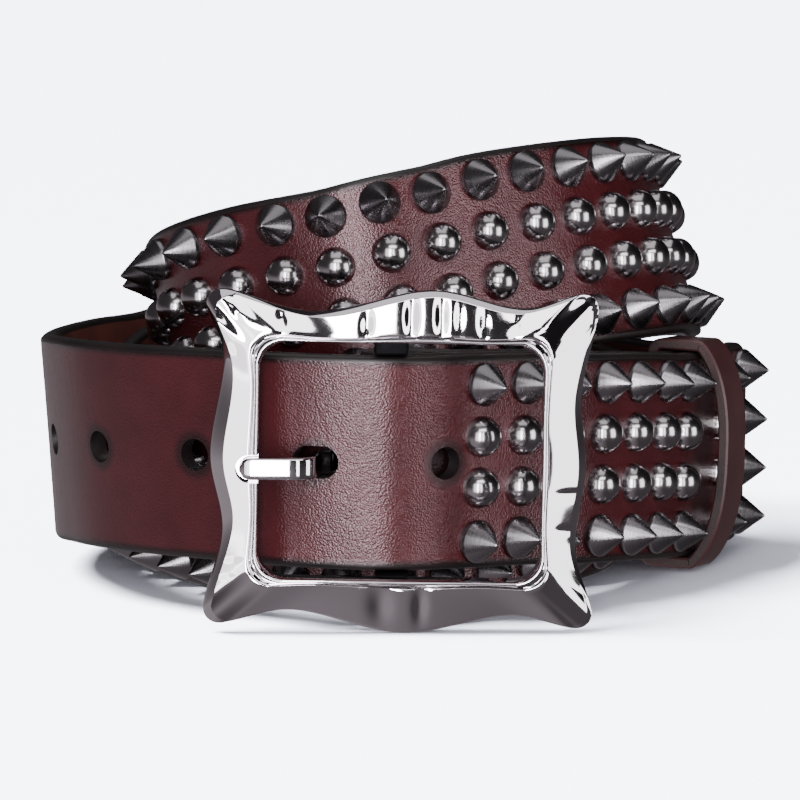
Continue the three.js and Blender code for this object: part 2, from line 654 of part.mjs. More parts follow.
/** The keeper is a closed loop round the tail and the buckle end, arched over the front. */
function makeKeeper() {
  const rear = -2 * STRAP_THICKNESS - LAYER_GAP - FIT;
  const half = STRAP_WIDTH / 2 + FIT;
  const round = 0.8 * KEEPER_WALL;
  const back = rear - KEEPER_WALL;
  const edge = half + KEEPER_WALL;
  const loop = new THREE.Shape();
  loop.absarc(back + round, round - edge, round, Math.PI, 1.5 * Math.PI, false);
  keeperArch(FIT, KEEPER_ARCH + KEEPER_WALL, edge).forEach((point) => loop.lineTo(point.x, point.y));
  loop.absarc(back + round, edge - round, round, Math.PI / 2, Math.PI, false);
  loop.closePath();
  const inside = new THREE.Path();
  inside.moveTo(rear, -half);
  keeperArch(FIT, KEEPER_ARCH, half).forEach((point) => inside.lineTo(point.x, point.y));
  inside.lineTo(rear, half);
  inside.closePath();
  const outline = new THREE.Shape(distinctPoints(loop));
  outline.holes.push(new THREE.Path(distinctPoints(inside)));
  const band = new THREE.ExtrudeGeometry(outline, { depth: KEEPER_WIDTH, bevelEnabled: false });
  band.translate(0, 0, -KEEPER_WIDTH / 2);
  const place = route.at(tipAt + (KEEPER_COLUMN + 0.5) * STUD_PITCH);
  const along = new THREE.Vector3().crossVectors(place.outward, place.upward);
  const turn = new THREE.Matrix4().makeBasis(place.outward, place.upward, along);
  band.applyMatrix4(turn.setPosition(place.point));
  return geometryOf(solidOf(band));
}

const belt = new THREE.Group();

function addPiece(name, geometry, material) {
  const mesh = new THREE.Mesh(geometry, material.clone());
  mesh.name = name;
  belt.add(mesh);
}

addPiece("strap", makeStrap(), LEATHER);
addPiece("buckle_frame", makeBuckleFrame(), BRIGHT_NICKEL);
addPiece("tongue", makeTongue(), BRIGHT_NICKEL);
addPiece("keeper", makeKeeper(), KEEPER_LEATHER);
rivetPlaces().forEach((place, i) => addPiece(`fold_rivet_${i + 1}`, makeRivet(place), DARK_NICKEL));

// The origin is under the middle of the whole, on the surface that it lies on
const whole = new THREE.Box3().setFromObject(belt);
const middle = whole.getCenter(new THREE.Vector3());
belt.children.forEach((mesh) => mesh.geometry.translate(-middle.x, -middle.y, -whole.min.z));

export default belt;
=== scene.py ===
"""The look of a studded leather belt, fastened and coiled on its edge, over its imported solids.

Shapes are worked out in millimetres, with the buckle's middle at X = 0, its front facing -Y and
the surface at Z = 0. Each finished mesh is then brought once into the object's own frame.
"""

from __future__ import annotations

import logging
import math
import random
from bisect import bisect_left
from dataclasses import dataclass, field
from enum import Enum
from typing import Iterable, Sequence

import bmesh
import bpy
from mathutils import Matrix, Vector

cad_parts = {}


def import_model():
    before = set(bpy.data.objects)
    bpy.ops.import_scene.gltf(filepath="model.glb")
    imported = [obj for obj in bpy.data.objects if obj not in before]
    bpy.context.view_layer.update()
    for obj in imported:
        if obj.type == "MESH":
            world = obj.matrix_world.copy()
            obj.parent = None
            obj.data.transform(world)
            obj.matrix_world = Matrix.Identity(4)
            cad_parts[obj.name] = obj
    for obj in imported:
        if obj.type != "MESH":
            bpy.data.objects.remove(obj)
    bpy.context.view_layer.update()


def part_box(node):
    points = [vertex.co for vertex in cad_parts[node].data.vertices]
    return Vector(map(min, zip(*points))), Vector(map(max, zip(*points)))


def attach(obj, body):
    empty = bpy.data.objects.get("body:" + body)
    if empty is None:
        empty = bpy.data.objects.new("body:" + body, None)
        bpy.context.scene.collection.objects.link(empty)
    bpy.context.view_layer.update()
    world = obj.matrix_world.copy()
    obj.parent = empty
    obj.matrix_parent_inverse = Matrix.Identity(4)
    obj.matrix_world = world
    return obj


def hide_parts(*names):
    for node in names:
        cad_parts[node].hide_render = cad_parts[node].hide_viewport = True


logging.basicConfig(level=logging.INFO, format="%(message)s")
LOG = logging.getLogger("belt")

MM = 0.001
ROOT = "root"

# Coil
COIL_REACH = 66.0
COIL_DEPTH = 140.0
STRAP_WIDTH = 38.0
STRAP_THICKNESS = 3.2
LAYER_GAP = 0.9

# Studs and holes along the strap
STUD_PITCH = 10.34
OUTER_ROW = 13.95
INNER_ROW = 4.65
TAIL_COLUMNS = 10
KEEPER_COLUMN = 2
PLAIN_END = 262.0
HOLE_RADIUS = 2.9
HOLE_PITCH = 24.0
HOLE_COUNT = 7
STUDS_TO_HOLES = 7.6
HOLES_TO_STUDS = 9.5
TONGUE_HOLE = 1
TONGUE_HOLE_X = -14.6
TONGUE_HOLE_LENGTH = 8.4

# Buckle
BUCKLE_WIDTH = 68.4
BUCKLE_HEIGHT = 59.2
BUCKLE_THICKNESS = 5.0
BUCKLE_ROLL = 1.0
BUCKLE_CORNER = 2.6
BUCKLE_REAR = -0.6
WINDOW_WIDTH = 49.6
WINDOW_HEIGHT = 41.8
WINDOW_CORNER = 5.0
BAR_X = -1.5
BAR_RADIUS = 2.0
FIT = 0.35
TONGUE_WIDTH = 3.8
TONGUE_THICKNESS = 2.2
FOLD_LENGTH = 34.0
WRAP_RADIUS = BAR_RADIUS + FIT + STRAP_THICKNESS
TURN_STEPS = 20
FOLD_STEPS = 17

# Stations: share of the reach, share of the depth, lower edge's rise as a share of the strap's
# width, and lean of the upper edge in degrees
TAIL = [
    (1.1, 0.76, 0.05, 1),
    (1.005, 0.646, 0.055, 1),
    (0.936, 0.567, 0.062, 1),
    (0.877, 0.5, 0.068, 1),
    (0.785, 0.395, 0.1, 1),
    (0.671, 0.296, 0.152, 0),
    (0.529, 0.204, 0.192, 0),
    (0.353, 0.126, 0.232, 0),
    (0.176, 0.049, 0.262, 0),
]
OUTER_WINDING = [
    (0.07, 0.019, 0.273, 0),
    (-0.041, 0.001, 0.281, 0),
    (-0.279, 0.016, 0.287, 0),
    (-0.495, 0.066, 0.284, 2),
    (-0.692, 0.132, 0.271, 4),
    (-0.852, 0.217, 0.253, 5),
    (-0.945, 0.321, 0.221, 5),
    (-0.991, 0.433, 0.179, 4),
    (-0.98, 0.557, 0.158, 2),
    (-0.912, 0.671, 0.147, 0),
    (-0.748, 0.807, 0.145, -2),
    (-0.5, 0.911, 0.276, -4),
    (-0.197, 0.968, 0.434, -8),
    (0.121, 0.979, 0.618, -12),
    (0.424, 0.936, 0.816, -15),
    (0.652, 0.868, 0.961, -16),
    (0.773, 0.786, 1.026, -17),
]
UPPER_WINDING = [
    (0.795, 0.7, 1.06, -17),
    (0.776, 0.624, 1.12, -17),
    (0.689, 0.486, 1.18, -18),
    (0.506, 0.369, 1.187, -16),
    (0.259, 0.279, 1.145, -12),
    (0.127, 0.237, 1.103, -12),
    (-0.011, 0.206, 1.063, -11),
    (-0.162, 0.201, 0.997, -8),
    (-0.43, 0.264, 0.874, 2),
    (-0.606, 0.376, 0.734, 10),
    (-0.65, 0.514, 0.587, 16),
    (-0.553, 0.664, 0.408, 11),
    (-0.182, 0.807, 0.197, 5),
    (0.341, 0.807, 0.058, 1),
]
LOWER_WINDING = [
    (0.635, 0.664, 0.005, 0),
    (0.618, 0.5, 0, 0),
    (0.474, 0.355, 0, 0),
    (0.175, 0.226, 0, 2),
    (0.015, 0.177, 0, 4),
    (-0.158, 0.163, 0, 8),
    (-0.34, 0.184, 0, 11),
    (-0.475, 0.236, 0, 12),
    (-0.668, 0.36, 0, 11),
    (-0.771, 0.474, 0, 6),
    (-0.815, 0.621, 0.02, 1),
    (-0.682, 0.775, 0.11, -1),
    (-0.212, 0.907, 0.07, 0),
    (0.394, 0.886, 0.015, 0),
    (0.792, 0.725, 0.003, 0),
    (0.862, 0.648, 0.02, 0),
]

# Dips and bulges of the buckle's sides: share of the side, and inset as a share of its height
BUCKLE_SIDES = {
    "bottom": [(0.22, 0.044), (0.51, -0.02), (0.8, 0.037)],
    "right": [(0.23, 0.052), (0.48, 0.027), (0.7, 0.044)],
    "top": [(0.19, 0.044), (0.42, -0.005), (0.73, 0.062)],
    "left": [(0.19, 0.049), (0.5, 0.014), (0.72, 0.052)],
}


def linear(colour: str) -> tuple[float, float, float, float]:
    """Turns an sRGB hex colour into linear red, green, blue and alpha.

    Args:
        colour: Six hex digits after a hash sign.

    Returns:
        The four linear values.
    """
    parts = [int(colour[i : i + 2], 16) / 255 for i in (1, 3, 5)]
    red, green, blue = (
        part / 12.92 if part <= 0.04045 else ((part + 0.055) / 1.055) ** 2.4 for part in parts
    )
    return red, green, blue, 1.0


def add_node(
    material: bpy.types.Material, kind: str, inputs: dict | None = None, **settings: object
) -> bpy.types.Node:
    """Adds a node with its settings, its values and its links.

    Args:
        material: The material that gets the node.
        kind: The node's type.
        inputs: A value or another node's output for each named or numbered input.
        **settings: The node's own settings.

    Returns:
        The new node.
    """
    node = material.node_tree.nodes.new(kind)
    for name, value in settings.items():
        setattr(node, name, value)
    for socket, value in (inputs or {}).items():
        if isinstance(value, bpy.types.NodeSocket):
            material.node_tree.links.new(value, node.inputs[socket])
        else:
            node.inputs[socket].default_value = value
    return node


def bare_material(name: str) -> bpy.types.Material:
    """Makes a node material with nothing in it."""
    material = bpy.data.materials.new(name)
    material.use_nodes = True
    material.node_tree.nodes.clear()
    return material


def close_surface(material: bpy.types.Material, **inputs: object) -> None:
    """Ends a material with its surface shader and output.

    Args:
        material: The material.
        **inputs: The shader's inputs, with underscores in place of spaces.
    """
    named = {name.replace("_", " "): value for name, value in inputs.items()}
    shader = add_node(material, "ShaderNodeBsdfPrincipled", named)
    add_node(material, "ShaderNodeOutputMaterial", {"Surface": shader.outputs["BSDF"]})


def ramp(
    material: bpy.types.Material, factor: bpy.types.NodeSocket, stops: Sequence[tuple[float, str]]
) -> bpy.types.NodeSocket:
    """Adds a colour ramp.

    Args:
        material: The material.
        factor: What drives the ramp.
        stops: Position and hex colour of each stop.

    Returns:
        The ramp's colour.
    """
    node = add_node(material, "ShaderNodeValToRGB", {"Fac": factor})
    elements = node.color_ramp.elements
    while len(elements) < len(stops):
        elements.new(0.5)
    for element, (position, colour) in zip(elements, stops):
        element.position = position
        element.color = linear(colour)
    return node.outputs["Color"]


def mixed_colour(
    material: bpy.types.Material, share: bpy.types.NodeSocket, one: object, two: object
) -> bpy.types.NodeSocket:
    """Adds a mix of two colours.

    Args:
        material: The material.
        share: How much of the second colour there is.
        one: The first colour, or what gives it.
        two: The second colour, or what gives it.

    Returns:
        The mixed colour.
    """
    inputs = {0: share, 6: one, 7: two}
    return add_node(material, "ShaderNodeMix", inputs, data_type="RGBA").outputs[2]


def bumped(
    material: bpy.types.Material, height: bpy.types.NodeSocket, relief_mm: float
) -> bpy.types.NodeSocket:
    """Adds a fine relief.

    Args:
        material: The material.
        height: What gives the height, from 0 to 1.
        relief_mm: How high it rises in millimetres.

    Returns:
        The relief's normals.
    """
    inputs = {"Strength": 1.0, "Distance": relief_mm * MM, "Height": height}
    return add_node(material, "ShaderNodeBump", inputs).outputs["Normal"]


def spun(
    bm: bmesh.types.BMesh, outline: Sequence[tuple[float, float]], steps: int
) -> None:
    """Turns a solid from its outline.

    Args:
        bm: The mesh that gets it.
        outline: Radius and height of each point.
        steps: The number of sides.
    """
    verts = [bm.verts.new((radius, 0, height)) for radius, height in outline]
    edges = [bm.edges.new(pair) for pair in zip(verts, verts[1:])]
    bmesh.ops.spin(
        bm, geom=verts + edges, cent=(0, 0, 0), axis=(0, 0, 1), angle=2 * math.pi,
        steps=steps, use_merge=True,
    )
    bmesh.ops.remove_doubles(bm, verts=bm.verts, dist=0.001)
    bmesh.ops.recalc_face_normals(bm, faces=bm.faces)


@dataclass(frozen=True)
class GrainLeather:
    """Full-grain cowhide, drum dyed and lacquered: fine pebbles that glitter in the highlight."""

    name: str = "grain_leather"
    dye: str = "#3f1519"
    deep: str = "#330f12"
    # Colour of the burnished hole rims, the painted edges and the painted shade under the tail
    burnish_and_shade: str = "#120808"
    shine: str = "#ffe6ee"
    grain_mm: float = 0.34
    pore_share: float = 0.2
    roughness: float = 0.22
    gloss: float = 0.6
    relief_mm: float = 0.075
    halo_mm: float = 2.2
    painted_mm: float = 1.0
    # Length from the tip from which the grain face gets painted shade, under the tail where little
    # light gets in
    shade_from_mm: float = 1020.0

    def darkened(
        self, made: bpy.types.Material, where: bpy.types.NodeSocket
    ) -> bpy.types.NodeSocket:
        """Gives 1 where the leather is dark: round the holes, where it is burnished, at the
        painted edges, and under the tail, where it is painted with shade.

        Args:
            made: The material.
            where: Length from the strap's tip and height from its middle line, in metres.

        Returns:
            The amount.
        """
        parts = add_node(made, "ShaderNodeSeparateXYZ", {"Vector": where}).outputs

        def math_node(kind: str, one: object, two: object) -> bpy.types.NodeSocket:
            inputs = {0: one, 1: two}
            return add_node(made, "ShaderNodeMath", inputs, operation=kind).outputs["Value"]

        def spread(value: bpy.types.NodeSocket, low: float, high: float) -> bpy.types.NodeSocket:
            inputs = {"Value": value, "From Min": low * MM, "From Max": high * MM}
            return add_node(
                made, "ShaderNodeMapRange", inputs, interpolation_type="SMOOTHSTEP"
            ).outputs["Result"]

        first_hole = (TAIL_COLUMNS - 0.5) * STUD_PITCH + STUDS_TO_HOLES
        from_first = math_node("SUBTRACT", parts["X"], first_hole * MM)
        holes_reach = (HOLE_COUNT - 1) * HOLE_PITCH * MM
        last = math_node("MINIMUM", math_node("MAXIMUM", from_first, 0.0), holes_reach)
        nearest = math_node("SNAP", math_node("ADD", last, HOLE_PITCH * MM / 2), HOLE_PITCH * MM)
        aside = math_node("SUBTRACT", from_first, nearest)
        away = math_node("SQRT", math_node(
            "ADD", math_node("POWER", aside, 2.0), math_node("POWER", parts["Y"], 2.0)
        ), 0.0)
        halo = spread(away, HOLE_RADIUS + self.halo_mm, HOLE_RADIUS + 0.3)
        height = math_node("ABSOLUTE", parts["Y"], 0.0)
        rim = STRAP_WIDTH / 2
        edge = spread(height, rim - 2.2 * self.painted_mm, rim - self.painted_mm)
        # Painted shade: the grain face under the tail is darkened from this length on, standing in
        # for the shadow there
        tail_shade = spread(parts["X"], self.shade_from_mm, self.shade_from_mm + 15)
        edge_paint_and_shade = math_node("MAXIMUM", edge, tail_shade)
        return math_node("MAXIMUM", math_node("MULTIPLY", halo, 0.85), edge_paint_and_shade)

    def material(self) -> bpy.types.Material:
        """Makes the material, with its pattern on the strap's own length and width."""
        made = bare_material(self.name)
        where = add_node(made, "ShaderNodeUVMap", uv_map="surface").outputs["UV"]
        pebbles = add_node(
            made,
            "ShaderNodeTexVoronoi",
            {"Vector": where, "Scale": 1 / (self.grain_mm * MM), "Randomness": 1.0},
            feature="F1",
        )
        pores = add_node(
            made,
            "ShaderNodeTexNoise",
            {"Vector": where, "Scale": 2.2 / (self.grain_mm * MM), "Detail": 3.0},
        )
        relief = add_node(
            made,
            "ShaderNodeMix",
            {
                "Factor": self.pore_share,
                "A": pebbles.outputs["Distance"],
                "B": pores.outputs["Fac"],
            },
            data_type="FLOAT",
        )
        clouds = add_node(
            made, "ShaderNodeTexNoise", {"Vector": where, "Scale": 90.0, "Detail": 4.0}
        )
        dyed = ramp(made, clouds.outputs["Fac"], [(0.3, self.deep), (0.7, self.dye)])
        # The dye darkens with the burnish round the holes, the edge paint and the painted shade
        # under the tail
        colour = mixed_colour(made, self.darkened(made, where), dyed, linear(self.burnish_and_shade))
        close_surface(
            made,
            Base_Color=colour,
            Roughness=self.roughness,
            Specular_IOR_Level=self.gloss,
            Specular_Tint=linear(self.shine),
            Normal=bumped(made, relief.outputs[0], self.relief_mm),
        )
        return made


@dataclass(frozen=True)
class PlainLeather:
    """Leather without pebbles, such as a pasted flesh side or a burnished keeper."""

    name: str
    light: str
    dark: str
    roughness: float
    fibre_mm: float = 0.9
    relief_mm: float = 0.02

    def material(self) -> bpy.types.Material:
        """Makes the material, with its pattern in the object's own space."""
        made = bare_material(self.name)
        where = add_node(made, "ShaderNodeTexCoord").outputs["Object"]
        fibres = add_node(
            made,
            "ShaderNodeTexNoise",
            {"Vector": where, "Scale": 1 / (self.fibre_mm * MM), "Detail": 5.0, "Roughness": 0.6},
        )
        clouds = add_node(
            made, "ShaderNodeTexNoise", {"Vector": where, "Scale": 70.0, "Detail": 3.0}
        )
        colour = ramp(made, clouds.outputs["Fac"], [(0.3, self.dark), (0.7, self.light)])
        relief = bumped(made, fibres.outputs["Fac"], self.relief_mm)
        close_surface(made, Base_Color=colour, Roughness=self.roughness, Normal=relief)
        return made


@dataclass(frozen=True)
class Metal:
    """Plated metal: polished, or turned with fine rings that spread the light."""

    name: str
    colour: str
    roughness: float
    mark_mm: float = 1.4
    relief_mm: float = 0.004
    turned: bool = False

    def material(self) -> bpy.types.Material:
        """Makes the material, on object coordinates or on a stud's own height."""
        made = bare_material(self.name)
        if self.turned:
            where = add_node(made, "ShaderNodeUVMap", uv_map="surface").outputs["UV"]
            rings = add_node(
                made, "ShaderNodeMapping", {"Vector": where, "Scale": (0.12, 1.0, 1.0)}
            )
            where = rings.outputs["Vector"]
        else:
            where = add_node(made, "ShaderNodeTexCoord").outputs["Object"]
        marks = add_node(
            made,
            "ShaderNodeTexNoise",
            {"Vector": where, "Scale": 1 / (self.mark_mm * MM), "Detail": 3.0},
        )
        wear = add_node(
            made,
            "ShaderNodeMapRange",
            {
                "Value": marks.outputs["Fac"],
                "To Min": self.roughness * 0.8,
                "To Max": self.roughness * 1.25,
            },
        )
        close_surface(
            made,
            Base_Color=linear(self.colour),
            Metallic=1.0,
            Roughness=wear.outputs["Result"],
            Normal=bumped(made, marks.outputs["Fac"], self.relief_mm),
        )
        return made


@dataclass(frozen=True)
class Lacquer:
    """The floor's matt white paint, with a trace of gloss."""

    name: str = "floor_paint"
    colour: str = "#e8eafa"

    def material(self) -> bpy.types.Material:
        """Makes the material."""
        made = bare_material(self.name)
        close_surface(made, Base_Color=linear(self.colour), Roughness=0.5)
        return made


class Finish(Enum):
    """What the belt's surfaces are made of."""

    GRAIN = GrainLeather()
    FLESH = PlainLeather("flesh_side", "#5e3029", "#3f1d19", 0.62)
    EDGE = PlainLeather("edge_paint", "#1b1314", "#0d0a0b", 0.42, 0.7, 0.05)
    KEEPER = PlainLeather("burnished_leather", "#412728", "#33191c", 0.36, 0.8, 0.012)
    RAW_EDGE = PlainLeather("raw_leather_edge", "#3a2526", "#171011", 0.75, 0.3, 0.2)
    CONE = Metal("turned_gunmetal", "#747074", 0.27, 0.5, 0.016, True)
    DOME = Metal("polished_gunmetal", "#a39ea1", 0.19, 0.9, 0.006)
    NICKEL = Metal("dark_nickel", "#bdb8bd", 0.05, 3.0, 0.004)
    # Painted shade: a near-black metal for the lugs and bar behind the window, standing in for the
    # shade there
    CAST = Metal("bar_painted_shade", "#1c1b1e", 0.6, 1.0, 0.02)
    RIVET = Metal("satin_steel", "#8a878d", 0.3)


class Finishes:
    """Makes each finish once, when a piece first asks for it."""

    def __init__(self) -> None:
        """Starts with no material made."""
        self.made: dict[Finish, bpy.types.Material] = {}

    def get(self, finish: Finish) -> bpy.types.Material:
        """Gives a finish's material."""
        if finish not in self.made:
            self.made[finish] = finish.value.material()
        return self.made[finish]


@dataclass(frozen=True)
class Place:
    """A place on the strap: a point on its outer face, the way outward and the way up."""

    point: Vector
    outward: Vector
    upward: Vector

    @staticmethod
    def on_line(point: Vector, along: Vector, lean: float) -> Place:
        """Makes the place where the strap runs a given way.

        Args:
            point: The point on the outer face's middle line.
            along: The line's direction.
            lean: How far the upper edge tips outward, in degrees.

        Returns:
            The place.
        """
        level = Vector((-along.y, along.x, 0)).normalized()
        upright = along.cross(level).normalized()
        angle = math.radians(lean)
        upward = upright * math.cos(angle) + level * math.sin(angle)
        outward = level * math.cos(angle) - upright * math.sin(angle)
        return Place(point, outward, upward)

    def moved(self, out: float, up: float = 0.0) -> Vector:
        """Gives the point moved out of the face and up."""
        return self.point + self.outward * out + self.upward * up

    def matrix(self, up: float = 0.0, out: float = 0.0) -> Matrix:
        """Gives the matrix that stands +Z on the face, with +Y towards the upper edge."""
        side = self.upward.cross(self.outward)
        turn = Matrix((side, self.upward, self.outward)).transposed().to_4x4()
        return Matrix.Translation(self.moved(out, up)) @ turn

    def blended(self, other: Place, share: float) -> Place:
        """Gives the place between this one and another."""
        return Place(
            self.point.lerp(other.point, share),
            self.outward.lerp(other.outward, share).normalized(),
            self.upward.lerp(other.upward, share).normalized(),
        )


@dataclass
class Line:
    """A smooth line through points, of the centripetal kind, with a lean at each."""

    points: list[Vector]
    leans: list[float]
    kept_per_point: int = 40
    places: list[Place] = field(default_factory=list)
    lengths: list[float] = field(default_factory=list)

    def __post_init__(self) -> None:
        """Walks the line and keeps its places and lengths."""
        count = self.kept_per_point * len(self.points)
        for i in range(count + 1):
            point, along, lean = self.sample(i / count)
            if self.places:
                gone = (point - self.places[-1].point).length
                self.lengths.append(self.lengths[-1] + gone)
            else:
                self.lengths.append(0.0)
            self.places.append(Place.on_line(point, along, lean))

    @property
    def length(self) -> float:
        """The whole line's length."""
        return self.lengths[-1]

    def sample(self, share: float) -> tuple[Vector, Vector, float]:
        """Evaluates the line.

        Args:
            share: From 0 at the first point to 1 at the last, even between points.

        Returns:
            The point, the direction and the lean.
        """
        last = len(self.points) - 1
        whole = min(int(share * last), last - 1)
        part = share * last - whole
        one, two = self.points[whole], self.points[whole + 1]
        before = self.points[whole - 1] if whole else 2 * one - two
        after = self.points[whole + 2] if whole + 2 <= last else 2 * two - one
        gaps = [math.sqrt((b - a).length) for a, b in ((before, one), (one, two), (two, after))]
        leave = (one - before) / gaps[0] - (two - before) / (gaps[0] + gaps[1])
        leave = (leave + (two - one) / gaps[1]) * gaps[1]
        reach = (two - one) / gaps[1] - (after - one) / (gaps[1] + gaps[2])
        reach = (reach + (after - two) / gaps[2]) * gaps[1]
        square = 3 * (two - one) - 2 * leave - reach
        cube = 2 * (one - two) + leave + reach
        point = one + leave * part + square * part**2 + cube * part**3
        along = leave + 2 * square * part + 3 * cube * part**2
        lean = self.leans[whole] + (self.leans[whole + 1] - self.leans[whole]) * part
        return point, along.normalized(), lean

    def at(self, length: float) -> Place:
        """Gives the place at a length."""
        i = min(max(bisect_left(self.lengths, length), 1), len(self.lengths) - 1)
        span = self.lengths[i] - self.lengths[i - 1]
        share = min(max((length - self.lengths[i - 1]) / span, 0.0), 1.0)
        return self.places[i - 1].blended(self.places[i], share)

    def exactly(self, length: float) -> Vector:
        """Gives the point at a length without blending between kept places."""
        i = min(max(bisect_left(self.lengths, length), 1), len(self.lengths) - 1)
        span = self.lengths[i] - self.lengths[i - 1]
        share = (i - 1 + (length - self.lengths[i - 1]) / span) / (len(self.lengths) - 1)
        return self.sample(share)[0]

    def length_at_point(self, number: int) -> float:
        """Gives the length at which the line reaches one of its own points."""
        place = number / (len(self.points) - 1) * (len(self.lengths) - 1)
        low = min(int(place), len(self.lengths) - 2)
        return self.lengths[low] + (self.lengths[low + 1] - self.lengths[low]) * (place - low)

    def length_at_x(self, x: float) -> float:
        """Gives the length at which the line first passes a value of X, going left."""
        return next(s for s, place in zip(self.lengths, self.places) if place.point.x < x)


def station_points(rows: Iterable[tuple[float, float, float, float]]) -> list[Vector]:
    """Turns rows of stations into points on the middle of the strap's outer face."""
    points = []
    for across, deep, rise, lean in rows:
        half = STRAP_WIDTH / 2 * math.cos(math.radians(lean))
        points.append(Vector((across * COIL_REACH, deep * COIL_DEPTH, rise * STRAP_WIDTH + half)))
    return points


@dataclass
class Layout:
    """Where everything lies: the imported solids' frame, the bar and the strap's route."""

    shift: Vector = field(init=False)
    bar: Vector = field(init=False)
    route: Line = field(init=False)
    turn: float = field(init=False)
    folded: list[Place] = field(init=False)

    def __post_init__(self) -> None:
        """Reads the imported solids' boxes and lays the strap's route through the stations."""
        low, high = (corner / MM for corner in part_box("buckle_frame"))
        front = BUCKLE_REAR - BUCKLE_THICKNESS
        self.shift = Vector(((low.x + high.x) / 2, low.y - front, low.z))
        tongue_low, tongue_high = (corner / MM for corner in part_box("tongue"))
        level = (tongue_low.z + tongue_high.z) / 2 - self.shift.z
        self.bar = Vector((BAR_X, high.y - self.shift.y - BAR_RADIUS, level))

        outer_rows = [*TAIL, *OUTER_WINDING]
        outer = Line(station_points(outer_rows), [row[3] for row in outer_rows])
        inner = []
        for row in TAIL[2:]:
            place = outer.at(outer.length_at_x(row[0] * COIL_REACH))
            inner.append(place.moved(-STRAP_THICKNESS - LAYER_GAP))
        to_bar = self.bar.xy - inner[-1].xy
        toward = math.atan2(to_bar.y, to_bar.x) - math.pi
        self.turn = toward - math.acos(WRAP_RADIUS / to_bar.length)

        rows = [*outer_rows, *UPPER_WINDING, *LOWER_WINDING]
        leans = [row[3] for row in [*rows, *TAIL[2:]]] + [0.0]
        points = [*station_points(rows), *inner, self.wrap_point(self.turn)]
        self.route = Line(points, leans)
        self.folded = self.turn_and_fold()

    def wrap_point(self, angle: float) -> Vector:
        """Gives a point on the strap's turn round the bar."""
        around = Vector((math.cos(angle), math.sin(angle), 0))
        return self.bar + around * WRAP_RADIUS

    def turn_and_fold(self) -> list[Place]:
        """Gives the places round the bar and back along the buckle end."""
        places = []
        for i in range(1, TURN_STEPS + 1):
            angle = self.turn - math.pi * i / TURN_STEPS
            along = Vector((math.sin(angle), -math.cos(angle), 0))
            places.append(Place.on_line(self.wrap_point(angle), along, 0))
        spread, closed = 2 * WRAP_RADIUS, 2 * STRAP_THICKNESS + FIT
        for i in range(1, FOLD_STEPS + 1):
            share = i / FOLD_STEPS
            front = self.route.at(self.route.length - share * FOLD_LENGTH)
            narrowed = min(share / 0.6, 1.0)
            eased = narrowed * narrowed * (3 - 2 * narrowed)
            depth = spread + (closed - spread) * eased
            places.append(Place(front.moved(-depth), -front.outward, front.upward))
        return places

    @property
    def tongue_hole(self) -> float:
        """The length at which the tongue's hole lies."""
        return self.route.length_at_x(TONGUE_HOLE_X)

    @property
    def first_hole(self) -> float:
        """The length of the hole next to the studs."""
        return self.tongue_hole - TONGUE_HOLE * HOLE_PITCH

    @property
    def tip(self) -> float:
        """The length at which the strap starts."""
        return self.first_hole - STUDS_TO_HOLES - (TAIL_COLUMNS - 0.5) * STUD_PITCH

    @property
    def into_frame(self) -> Matrix:
        """The matrix from millimetres about the buckle to the object's frame in metres."""
        return Matrix.Scale(MM, 4) @ Matrix.Translation(self.shift)


@dataclass
class Workbench:
    """What every sub-assembly needs: the layout, the finishes and a way to hand in a mesh."""

    layout: Layout
    finishes: Finishes

    def hand_in(
        self,
        bm: bmesh.types.BMesh,
        name: str,
        finishes: Sequence[Finish],
        node: str | Sequence[str],
        slot: str,
        sharp: float = 40.0,
    ) -> bpy.types.Object:
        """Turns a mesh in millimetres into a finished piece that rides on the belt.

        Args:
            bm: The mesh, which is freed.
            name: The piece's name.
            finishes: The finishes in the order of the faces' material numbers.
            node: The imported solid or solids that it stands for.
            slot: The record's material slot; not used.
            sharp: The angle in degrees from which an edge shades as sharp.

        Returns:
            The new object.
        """
        bmesh.ops.transform(bm, matrix=self.layout.into_frame, verts=bm.verts)
        mesh = bpy.data.meshes.new(name)
        bm.to_mesh(mesh)
        bm.free()
        for finish in finishes:
            mesh.materials.append(self.finishes.get(finish))
        mesh.polygons.foreach_set("use_smooth", [True] * len(mesh.polygons))
        mesh.set_sharp_from_angle(angle=math.radians(sharp))
        piece = bpy.data.objects.new(name, mesh)
        bpy.context.scene.collection.objects.link(piece)
        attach(piece, ROOT)
        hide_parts(*([node] if isinstance(node, str) else node))
        LOG.info("%s: %d faces", name, len(mesh.polygons))
        return piece


def bridge_rings(
    bm: bmesh.types.BMesh, rings: Sequence[Sequence[Vector]], closed: bool = False
) -> None:
    """Lays rings of points and bridges each to the next.

    Args:
        bm: The mesh that gets them.
        rings: Rings with the same number of points, in order.
        closed: Whether the last ring is bridged to the first, and otherwise both ends are filled.
    """
    loops = []
    for ring in rings:
        verts = [bm.verts.new(point) for point in ring]
        loops.append([bm.edges.new(pair) for pair in zip(verts, [*verts[1:], verts[0]])])
    pairs = list(zip(loops, loops[1:]))
    if closed:
        pairs.append((loops[-1], loops[0]))
    for one, two in pairs:
        bmesh.ops.bridge_loops(bm, edges=one + two)
    if not closed:
        bmesh.ops.holes_fill(bm, edges=loops[0] + loops[-1], sides=0)
    bmesh.ops.recalc_face_normals(bm, faces=bm.faces)


def add_slug(
    bm: bmesh.types.BMesh, matrix: Matrix, longer: float, radius: float, depth: float
) -> None:
    """Adds a cutter with two round ends, long along X and deep along Z.

    Args:
        bm: The mesh that gets it.
        matrix: Where its middle goes.
        longer: Its length over both round ends.
        radius: The ends' radius.
        depth: How deep it cuts.
    """
    segments = 32
    made = bmesh.ops.create_cone(
        bm, cap_ends=True, segments=segments, radius1=radius, radius2=radius, depth=depth,
        matrix=Matrix.Rotation(math.pi / segments, 4, "Z"),
    )
    for vert in made["verts"]:
        vert.co.x += math.copysign(longer / 2 - radius, vert.co.x)
    bmesh.ops.transform(bm, matrix=matrix, verts=made["verts"])


